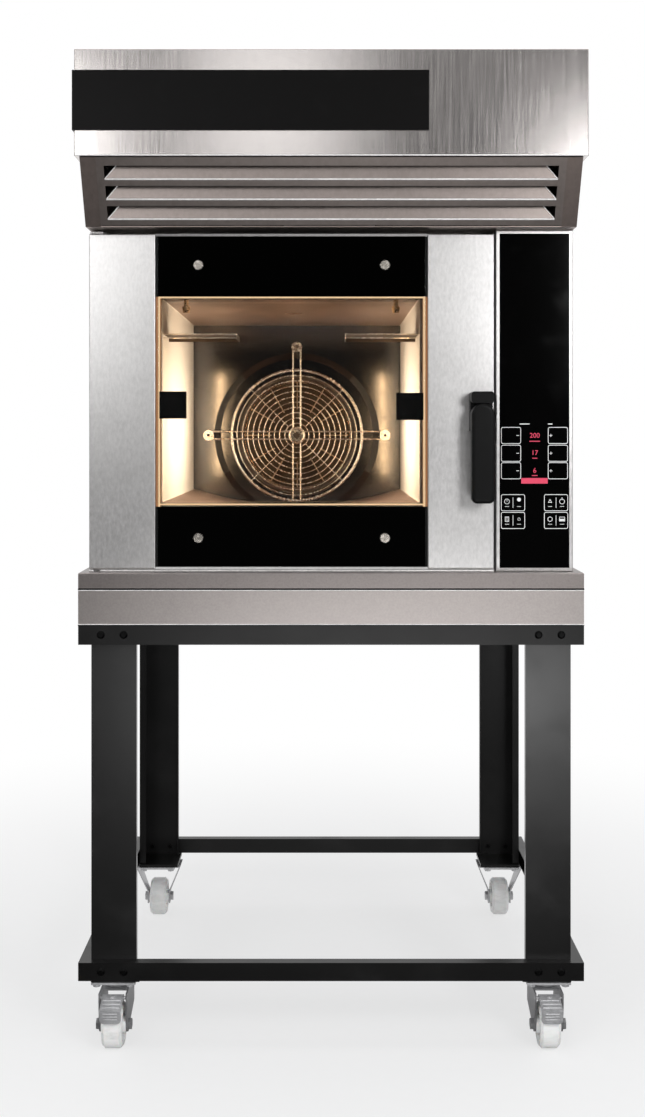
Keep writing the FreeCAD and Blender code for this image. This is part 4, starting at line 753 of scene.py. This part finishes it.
def on_glass(x, z):
    """A point on the front of the control glass."""
    return x, GLASS_FACE - bpy.context.scene.oven_sizes.print_depth, z


class OVEN_OT_finishes(bpy.types.Operator):
    """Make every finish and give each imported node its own"""

    bl_idname = "oven.finishes"
    bl_label = "Finishes"

    def execute(self, context):
        finishes = make_finishes(context.scene.oven_colours)
        for finish, names in NODE_FINISHES.items():
            for name in names:
                mesh = NODES[name].data
                mesh.materials.clear()
                mesh.materials.append(finishes[finish])
        bare = set(NODES) - {name for names in NODE_FINISHES.values() for name in names}
        if bare:
            raise RuntimeError(f"nodes without a finish: {sorted(bare)}")
        return {"FINISHED"}


class OVEN_OT_key_outlines(bpy.types.Operator):
    """Print the outlined keys, their signs and the short dashes above them"""

    bl_idname = "oven.key_outlines"
    bl_label = "Key outlines"

    def execute(self, context):
        sizes = context.scene.oven_sizes
        depth, line = sizes.print_depth, sizes.line_width
        marks = []
        for column, row in ((x, z) for x in KEY_COLUMNS for z in KEY_ROWS):
            marks.append(plate("key", on_glass(column, row), sizes.key_width, sizes.key_height, depth,
                               sizes.key_corner, line))
        for column, row in ((x, z) for x in WIDE_COLUMNS for z in WIDE_ROWS):
            marks.append(plate("wide_key", on_glass(column, row), sizes.wide_key_width, sizes.key_height,
                               depth, sizes.key_corner, line))
            marks.append(plate("divider", on_glass(column, row), line * 0.8, sizes.key_height * 0.62,
                               depth))
        for row in KEY_ROWS:
            marks.append(plate("minus", on_glass(MINUS_COLUMN, row), MINUS_WIDTH, line, depth))
            marks.append(plate("plus_bar", on_glass(PLUS_COLUMN, row), PLUS_WIDTH, line, depth))
            marks.append(plate("plus_post", on_glass(PLUS_COLUMN, row), line, PLUS_WIDTH, depth))
        for x, width in DASHES:
            marks.append(plate("dash", on_glass(x, DASH_LEVEL), width, DASH_HEIGHT, depth, DASH_CORNER))
        dress(join("control_keys", marks), "print_white", "frame")
        return {"FINISHED"}


class OVEN_OT_key_icons(bpy.types.Operator):
    """Print the small signs in the lower keys"""

    bl_idname = "oven.key_icons"
    bl_label = "Key icons"

    def execute(self, context):
        sizes = context.scene.oven_sizes
        depth, line, radius = sizes.print_depth, sizes.line_width * 0.85, sizes.icon_radius
        side = sizes.wide_key_width / 4
        spots = [on_glass(x + step * side, z + ICON_LIFT) for z in WIDE_ROWS for x in WIDE_COLUMNS
                 for step in (-1, 1)]
        clock, drop, swirl, switch, pages, favourite, timer, level = spots
        marks = [
            disc("clock", clock, radius, depth, line=line),
            plate("clock_hand", (clock[0], clock[1], clock[2] + radius * 0.3), line, radius * 0.7, depth),
            disc("drop", drop, radius * 0.72, depth, point=radius * 0.7),
            disc("swirl", swirl, radius * 0.9, depth, corners=3, line=line),
            disc("power_ring", switch, radius, depth, line=line),
            plate("power_bar", (switch[0], switch[1], switch[2] + radius), line * 1.3, radius, depth),
            plate("page", pages, radius * 1.5, radius * 1.9, depth, radius * 0.2, line),
            star("favourite", favourite, radius * 1.25, depth, line * 0.7),
            disc("timer", timer, radius, depth, corners=6, line=line),
            plate("level_box", level, radius * 2.1, radius * 1.8, depth, radius * 0.2, line),
            plate("level_fill", (level[0], level[1], level[2] - radius * 0.4), radius * 1.7, radius, depth),
        ]
        for step in (-0.4, 0.1, 0.6):
            marks.append(plate("page_line", (pages[0], pages[1], pages[2] + radius * step),
                               radius * 0.9, line * 0.8, depth))
        for x, y, z in spots:
            marks.append(plate("caption_dash", (x, y, z - radius * 1.85), radius * 1.5, line * 0.9, depth))
        dress(join("control_icons", marks), "print_white", "frame")
        return {"FINISHED"}


class OVEN_OT_display(bpy.types.Operator):
    """Light the display's digits, the short lines below them and the bar"""

    bl_idname = "oven.display"
    bl_label = "Display"

    def execute(self, context):
        sizes = context.scene.oven_sizes
        depth = sizes.print_depth
        marks = []
        for words, level, line_level, width in READOUTS:
            spot = on_glass(READOUT_MIDDLE, level)
            marks.append(digits("digits", spot, words, sizes.digit_height, depth))
            spot = on_glass(READOUT_MIDDLE, line_level)
            marks.append(plate("underline", spot, width, UNDERLINE_HEIGHT, depth))
        marks.append(plate("bar", on_glass(*BAR_PLACE), *BAR_SIZE, depth, BAR_CORNER))
        dress(join("display_marks", marks), "display_red", "frame")
        return {"FINISHED"}


class OVEN_OT_glass_squares(bpy.types.Operator):
    """Put the two dark squares behind the door's outer glass"""

    bl_idname = "oven.glass_squares"
    bl_label = "Glass squares"

    def execute(self, context):
        side = context.scene.oven_sizes.mark_side
        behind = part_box("door_outer_glass")[1].y + SQUARE_GAP
        squares = [plate("square", (x, behind, z), side, side, SQUARE_DEPTH, SQUARE_CORNER)
                   for x, z in SQUARE_PLACES]
        dress(join("glass_squares", squares), "dark_plate", "door")
        return {"FINISHED"}


class OVEN_OT_window_lines(bpy.types.Operator):
    """Put the thin line round the window, with its small end caps; it glows though it is no lamp, a painted
    highlight
    """

    bl_idname = "oven.window_lines"
    bl_label = "Window lines"

    def execute(self, context):
        line = context.scene.oven_sizes.frame_line
        low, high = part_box("door_outer_glass")
        front = high.y + LINE_GAP
        back = front + LINE_DEPTH
        left, right = low.x + LINE_INSET, high.x - LINE_INSET
        floor, top = WINDOW_LEVELS
        foot, head = floor - LINE_REACH, top + LINE_REACH
        strips = [
            rounded_block("top_line", (left, front, top - line), (right, back, top), LINE_EDGE),
            rounded_block("bottom_line", (left, front, floor), (right, back, floor + line), LINE_EDGE),
            rounded_block("left_line", (left, front, foot), (left + line, back, head), LINE_EDGE),
            rounded_block("right_line", (right - line, front, foot), (right, back, head), LINE_EDGE),
        ]
        dress(join("window_lines", strips), "warm_line", "door")
        return {"FINISHED"}


class OVEN_OT_guard_spokes(bpy.types.Operator):
    """Add the guard's thin slanting spokes and hub ring, and its nut and the recesses of its screws as dark
    discs, painted shade
    """

    bl_idname = "oven.guard_spokes"
    bl_label = "Guard spokes"

    def execute(self, context):
        radius = context.scene.oven_sizes.spoke_radius
        low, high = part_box("fan_guard")
        middle = Vector(((low.x + high.x) / 2, 0, FAN_LEVEL))
        level = low.y + SPOKE_LEVEL
        spokes = []
        for step in range(4):
            angle = math.pi / 4 + step * QUARTER
            way = Vector((math.cos(angle), 0, math.sin(angle)))
            start, end = (middle + way * reach for reach in SPOKE_REACH)
            spokes.append(wire("spoke", (start.x, level, start.z), (end.x, level, end.z), radius))
        deselect()
        bpy.ops.mesh.primitive_torus_add(
            location=(middle.x, low.y + HUB_WIRE * 0.3, middle.z), rotation=FRONT,
            major_radius=HUB_RADIUS, minor_radius=HUB_WIRE, major_segments=40, minor_segments=12)
        spokes.append(settle("hub_ring"))
        dress(join("guard_spokes", spokes), "bright_steel", "frame")
        # The nut and the screw recesses: dark discs, painted shade
        spot = (middle.x, low.y - NUT_RISE, middle.z)
        nuts = [disc("centre_nut", spot, NUT_RADIUS, NUT_DEPTH, corners=6)]
        for x, z in ((-GUARD_REACH, 0), (GUARD_REACH, 0), (0, GUARD_REACH)):
            spot = (middle.x + x, low.y - RECESS_RISE, middle.z + z)
            nuts.append(disc("recess", spot, RECESS_RADIUS, RECESS_DEPTH, corners=12))
        dress(join("guard_nuts", nuts), "shade_steel", "frame")
        return {"FINISHED"}


class OVEN_OT_shade_edges(bpy.types.Operator):
    """Line the edges of the two deflector plates below the cavity's ceiling with bright wires: painted
    highlights
    """

    bl_idname = "oven.shade_edges"
    bl_label = "Shade edges"

    def execute(self, context):
        radius = context.scene.oven_sizes.hem_radius * 0.5
        low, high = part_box("air_shades")
        edges = []
        for wall, free in ((low.x, low.x + SHADE_REACH), (high.x, high.x - SHADE_REACH)):
            for z in (low.z + radius, high.z - radius):
                edges.append(wire("shade_edge", (wall, low.y, z), (free, low.y, z), radius))
            edges.append(wire("shade_end", (free, low.y, low.z), (free, low.y, high.z), radius))
        # Bright wires along the plates' edges: painted highlights
        dress(join("shade_edges", edges), "bright_steel", "frame")
        return {"FINISHED"}


class OVEN_OT_blade_hems(bpy.types.Operator):
    """Roll the lower edges of the louvre blades and the hood, and line the blades' ends, in a near-white
    finish: painted highlights
    """

    bl_idname = "oven.blade_hems"
    bl_label = "Blade hems"

    def execute(self, context):
        radius = context.scene.oven_sizes.hem_radius
        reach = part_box("hood_louvre_panel")[1].x - LOUVRE_MARGIN
        skirt_low, skirt_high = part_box("hood_skirt")
        slope = Vector((0, SLOPE_TOP - SLOPE_FOOT, skirt_high.z - skirt_low.z)).normalized()
        inward, backward, upward = BLADE_END
        hems = []
        for step in LOUVRE_LIPS:
            lip = Vector((0, SLOPE_FOOT, skirt_low.z)) + slope * step
            hems.append(wire("hem", (-reach, lip.y, lip.z), (reach, lip.y, lip.z), radius, 14))
            for side in (-1, 1):
                top = (side * (reach - inward), lip.y + backward, lip.z + upward)
                hems.append(wire("blade_end", (side * reach, lip.y, lip.z), top, radius * 0.5))
        box_low, box_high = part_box("hood_box")
        y, z = box_low.y + radius * 0.6, box_low.z + radius * 0.6
        left, right = (box_low.x + HEM_INSET, y, z), (box_high.x - HEM_INSET, y, z)
        hems.append(wire("hood_edge", left, right, radius * 0.75, 14))
        # The hems and the hood's edge get the near-white finish: painted highlights
        dress(join("blade_hems", hems), "hem_steel", "frame")
        return {"FINISHED"}


class OVEN_OT_band_lines(bpy.types.Operator):
    """Line the stand's lower band with bright edges, painted highlights, and dark strips, painted shadow in
    its gaps, and lay the door's sill, a bright strip painted light in the shade under the door
    """

    bl_idname = "oven.band_lines"
    bl_label = "Band lines"

    def execute(self, context):
        radius = context.scene.oven_sizes.hem_radius * 0.5
        low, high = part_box("stand_apron")
        edges = []
        # Bright wires along the band's edges: painted highlights
        for z in (low.z + radius, high.z - radius):
            edges.append(wire("front_edge", (low.x, low.y, z), (high.x, low.y, z), radius))
            for x in (low.x, high.x):
                edges.append(wire("side_edge", (x, low.y, z), (x, high.y, z), radius))
        # The sill: a bright strip laid in the shade under the door, painted light
        door_low, door_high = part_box("door_left_stile")[0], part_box("door_right_stile")[1]
        sill_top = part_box("stand_top")[1].z + SILL_HEIGHT
        edges.append(rounded_block("sill", (door_low.x, door_low.y + SILL_FRONT, sill_top - SILL_HEIGHT),
                                   (door_high.x, door_low.y + SILL_BACK, sill_top), SILL_EDGE))
        dress(join("band_lines", edges), "hem_steel", "frame")
        # Dark strips over the gaps above and below the band: painted shadow
        levels = ((high.z - SHADOW_LAP, high.z + UPPER_SHADOW), (low.z - LOWER_SHADOW, low.z + SHADOW_LAP))
        shadow_strips = [rounded_block("seam", (low.x - SHADOW_STEP, low.y - SHADOW_STEP, foot),
                               (high.x + SHADOW_STEP, high.y + SHADOW_STEP, top), SHADOW_STEP * 0.7)
                 for foot, top in levels]
        dress(join("band_seam", shadow_strips), "inner_black", "frame")
        return {"FINISHED"}


class OVEN_OT_pedal_ribs(bpy.types.Operator):
    """Press the ribs of the castor brakes' pedals, and rivet each pedal"""

    bl_idname = "oven.pedal_ribs"
    bl_label = "Pedal ribs"

    def execute(self, context):
        radius = context.scene.oven_sizes.rib_radius
        for name in ("front_left", "front_right"):
            low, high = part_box(name + "_brake_pedal")
            middle = (low.x + high.x) / 2
            ribs = []
            for start, end, steps, half in RIB_ROWS:
                for step in steps:
                    y = start[0] + (end[0] - start[0]) * step
                    z = start[1] + (end[1] - start[1]) * step
                    ribs.append(wire("rib", (middle - half, y, z), (middle + half, y, z), radius))
            ribs.append(wire("rivet", (middle, *RIVET_FOOT), (middle, *RIVET_TOP), RIVET_RADIUS, 18))
            dress(join(name + "_pedal_ribs", ribs), "zinc", name + "_brake")
        return {"FINISHED"}


class OVEN_OT_castor_bolts(bpy.types.Operator):
    """Bolt the castor plates to the feet"""

    bl_idname = "oven.castor_bolts"
    bl_label = "Castor bolts"

    def execute(self, context):
        radius = context.scene.oven_sizes.plate_bolt_radius
        deselect()
        bpy.ops.mesh.primitive_cylinder_add(vertices=6, radius=radius, depth=BOLT_HEIGHT,
                                            location=(0, 0, FEET_UNDERSIDE - BOLT_HEIGHT / 2))
        bolt = settle("castor_bolt")
        apply_modifier(bolt, "BEVEL", width=BOLT_EDGE, segments=2, limit_method="NONE")
        spots = [(side * CASTOR_SIDE + x, y, 0) for side in (-1, 1) for middle in CASTOR_ROWS
                 for x in (-BOLT_SIDE, BOLT_SIDE) for y in (middle - BOLT_ROW, middle + BOLT_ROW)]
        dress(join("castor_bolts", copies(bolt, spots)), "zinc", "frame")
        return {"FINISHED"}


class OVEN_OT_panel_screws(bpy.types.Operator):
    """Screw the casing's side and rear panels on"""

    bl_idname = "oven.panel_screws"
    bl_label = "Panel screws"

    def screw(self, name, radius):
        """A domed screw head that faces up from the origin, with a cross recess."""
        deselect()
        bpy.ops.mesh.primitive_cylinder_add(vertices=20, radius=radius, depth=radius * 0.5,
                                            location=(0, 0, radius * 0.25))
        head = settle(name)
        apply_modifier(head, "BEVEL", width=radius * 0.2, segments=3, limit_method="ANGLE")
        for turn in (0, QUARTER):
            deselect()
            bpy.ops.mesh.primitive_cube_add(size=1, location=(0, 0, radius * 0.5), rotation=(0, 0, turn),
                                            scale=(radius * 1.1, radius * 0.2, radius * 0.4))
            cutter = settle("recess")
            apply_modifier(head, "BOOLEAN", operation="DIFFERENCE", object=cutter)
            choose(cutter)
            bpy.ops.object.delete()
        return head

    def turned(self, head, axis, angle):
        choose(head)
        bpy.ops.object.duplicate(linked=False)
        bpy.ops.transform.rotate(value=-angle, orient_axis=axis, center_override=(0, 0, 0))
        return settle("screw")

    def execute(self, context):
        radius = context.scene.oven_sizes.screw_radius
        screw = self.screw("panel_screw", radius)
        low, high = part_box("side_panels")
        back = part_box("rear_panel")[1].y
        foot, head = low.z + SCREW_INSET, high.z - SCREW_INSET
        rows = (foot, (low.z + high.z) / 2, head)
        rear = [(x, back, z) for x in (low.x + REAR_INSET, high.x - REAR_INSET) for z in rows]
        rear += [(x, back, z) for z in (head, foot) for x in REAR_COLUMNS]
        columns = (low.y + SCREW_INSET, SIDE_COLUMN, high.y - SCREW_INSET)
        left, right = ([(x, y, z) for y in columns for z in rows] for x in (low.x, high.x))
        made = copies(self.turned(screw, "X", -QUARTER), rear)
        made += copies(self.turned(screw, "Y", -QUARTER), left)
        made += copies(self.turned(screw, "Y", QUARTER), right)
        choose(screw)
        bpy.ops.object.delete()
        dress(join("panel_screws", made), "zinc", "frame")
        return {"FINISHED"}


WHITE = (1, 1, 1, 1)

# The studio's soft lights: place, target, width and height
STUDIO_LIGHTS = {
    "front": ((-0.17, -2.4, 2.08), (-0.1, -0.4, 1.6), 0.46, 0.62),
    "left": ((-1.02, -2.4, 1.75), (-0.35, -0.4, 1.5), 0.5, 0.9),
    "right": ((1.07, -2.4, 1.57), (0.3, -0.4, 1.4), 0.5, 0.66),
    "low": ((0.18, -2.4, 0.28), (0.1, -0.4, 0.8), 1.3, 0.3),
    "top": ((0, -0.2, 3.6), (0, 0.1, 0), 2.2, 2.2),
}

# The lights at each side of the cavity's middle, in the same order, and whether mirrors leave them out
CAVITY_LIGHTS = {
    "lamp": ((0.222, -0.318, 1.115), (-0.15, 0.0, 1.10), 0.016, 0.27, False),
    "glow": ((0.08, -0.05, 1.10), (0.3, -0.05, 1.10), 0.36, 0.12, True),
}


def ray_kinds(tree):
    """Whether a ray comes from the camera, and whether it was mirrored or went through glass."""
    kinds = tree.nodes.new("ShaderNodeLightPath").outputs
    mirrored = Value(tree, kinds["Is Glossy Ray"]) + Value(tree, kinds["Is Transmission Ray"])
    return Value(tree, kinds["Is Camera Ray"]), mirrored.between(0.0, 1.0)


class OVEN_OT_stage(bpy.types.Operator):
    """Lay the floor, set the lights and place the camera"""

    bl_idname = "oven.stage"
    bl_label = "Stage"

    def floor(self):
        deselect()
        bpy.ops.mesh.primitive_circle_add(vertices=96, radius=30, fill_type="NGON", location=(0, 0, 0))
        ground = settle("floor")
        material, place = new_finish("pale_floor")
        seen, mirrored = ray_kinds(place.tree)
        speckle = place.noise(40.0, 3.0)
        far = place.add("ShaderNodeVectorMath", {"operation": "LENGTH"}, {0: place}, output=1)
        behind = place.along(1).between(-0.6, 0.6)
        lit = place.add("ShaderNodeBsdfDiffuse", None,
                        {"Color": speckle.mix((0.84, 0.84, 0.84, 1), (0.88, 0.88, 0.88, 1))})
        white = place.add("ShaderNodeEmission", None, {"Color": WHITE, "Strength": 1.0})
        dark = place.add("ShaderNodeEmission", None, {"Color": WHITE, "Strength": 0.03})
        mirror = place.add("ShaderNodeMixShader", None, {0: behind, 1: dark, 2: white})
        soft = place.add("ShaderNodeMixShader", None, {0: mirrored, 1: lit, 2: mirror})
        blend = place.add("ShaderNodeMixShader", None,
                          {0: seen * (0.62 + 0.38 * far.between(0.5, 2.2)), 1: soft, 2: white})
        place.add("ShaderNodeOutputMaterial", None, {"Surface": blend})
        ground.data.materials.append(material)

    def world(self, scene):
        world = bpy.data.worlds.new("studio")
        scene.world = world
        world.use_nodes = True
        tree = world.node_tree
        tree.nodes.clear()
        way = Value(tree, tree.nodes.new("ShaderNodeTexCoord").outputs["Generated"])
        seen, mirrored = ray_kinds(tree)
        beside = way.along(1).between(-0.88, -0.30)
        above = 0.5 * way.along(2).between(0.22, 0.42)
        pale = way.math("MAXIMUM", beside, above)
        white = way.add("ShaderNodeBackground", None, {"Color": WHITE, "Strength": 1.0})
        room = way.add("ShaderNodeBackground", None, {"Color": (0.97, 0.98, 1.0, 1), "Strength": 0.6})
        dark = way.add("ShaderNodeBackground", None, {"Color": WHITE, "Strength": 0.02})
        mirror = way.add("ShaderNodeMixShader", None, {0: pale, 1: dark, 2: white})
        soft = way.add("ShaderNodeMixShader", None, {0: mirrored, 1: room, 2: mirror})
        blend = way.add("ShaderNodeMixShader", None, {0: seen, 1: soft, 2: white})
        way.add("ShaderNodeOutputWorld", None, {"Surface": blend})

    def light(self, name, place, target, power, width, height, tint=(1, 1, 1), hidden=False):
        turn = (Vector(target) - Vector(place)).to_track_quat("-Z", "Y").to_euler()
        bpy.ops.object.light_add(type="AREA", location=place, rotation=turn)
        lamp = bpy.context.object
        lamp.name = name
        lamp.data.shape = "RECTANGLE"
        lamp.data.size = width
        lamp.data.size_y = height
        lamp.data.energy = power
        lamp.data.color = tint
        lamp.visible_camera = False
        lamp.visible_glossy = not hidden
        lamp.visible_transmission = not hidden

    def execute(self, context):
        scene = context.scene
        stage, colours = scene.oven_stage, scene.oven_colours
        scene.view_settings.view_transform = "Standard"
        self.floor()
        self.world(scene)
        for name, (place, target, width, height) in STUDIO_LIGHTS.items():
            self.light(name + "_soft", place, target, getattr(stage, name + "_power"), width, height)
        for side in (-1, 1):
            for name, (place, target, width, height, hidden) in CAVITY_LIGHTS.items():
                place, target = ((CAVITY_MIDDLE + side * x, y, z) for x, y, z in (place, target))
                self.light("cavity_" + name, place, target, getattr(stage, name + "_power"), width, height,
                           tuple(getattr(colours, name)), hidden)
        door_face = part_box("door_left_stile")[0].y
        place = (stage.camera_side, door_face - stage.camera_distance, stage.camera_height)
        bpy.ops.object.camera_add(location=place, rotation=FRONT)
        camera = context.object
        camera.name = "camera"
        camera.data.lens = stage.lens
        camera.data.sensor_width = 36
        camera.data.shift_y = stage.shift
        camera.data.clip_end = 200
        scene.camera = camera
        return {"FINISHED"}


STEPS = (
    OVEN_OT_finishes, OVEN_OT_key_outlines, OVEN_OT_key_icons, OVEN_OT_display, OVEN_OT_glass_squares,
    OVEN_OT_window_lines, OVEN_OT_guard_spokes, OVEN_OT_shade_edges, OVEN_OT_blade_hems,
    OVEN_OT_band_lines, OVEN_OT_pedal_ribs, OVEN_OT_castor_bolts, OVEN_OT_panel_screws, OVEN_OT_stage,
)


class OVEN_PT_dressing(bpy.types.Panel):
    """Lists the steps that dress the oven"""

    bl_idname = "OVEN_PT_dressing"
    bl_label = "Oven"
    bl_space_type = "VIEW_3D"
    bl_region_type = "UI"
    bl_category = "Oven"

    def draw(self, context):
        for step in STEPS:
            self.layout.operator(step.bl_idname)


CLASSES = (OvenSizes, OvenColours, OvenStage, *STEPS, OVEN_PT_dressing)


def register():
    for item in CLASSES:
        bpy.utils.register_class(item)
    bpy.types.Scene.oven_sizes = bpy.props.PointerProperty(type=OvenSizes)
    bpy.types.Scene.oven_colours = bpy.props.PointerProperty(type=OvenColours)
    bpy.types.Scene.oven_stage = bpy.props.PointerProperty(type=OvenStage)


def unregister():
    del bpy.types.Scene.oven_stage
    del bpy.types.Scene.oven_colours
    del bpy.types.Scene.oven_sizes
    for item in reversed(CLASSES):
        bpy.utils.unregister_class(item)


def main():
    register()
    for step in STEPS:
        group, name = step.bl_idname.split(".")
        getattr(getattr(bpy.ops, group), name)()


if __name__ == "__main__":
    main()
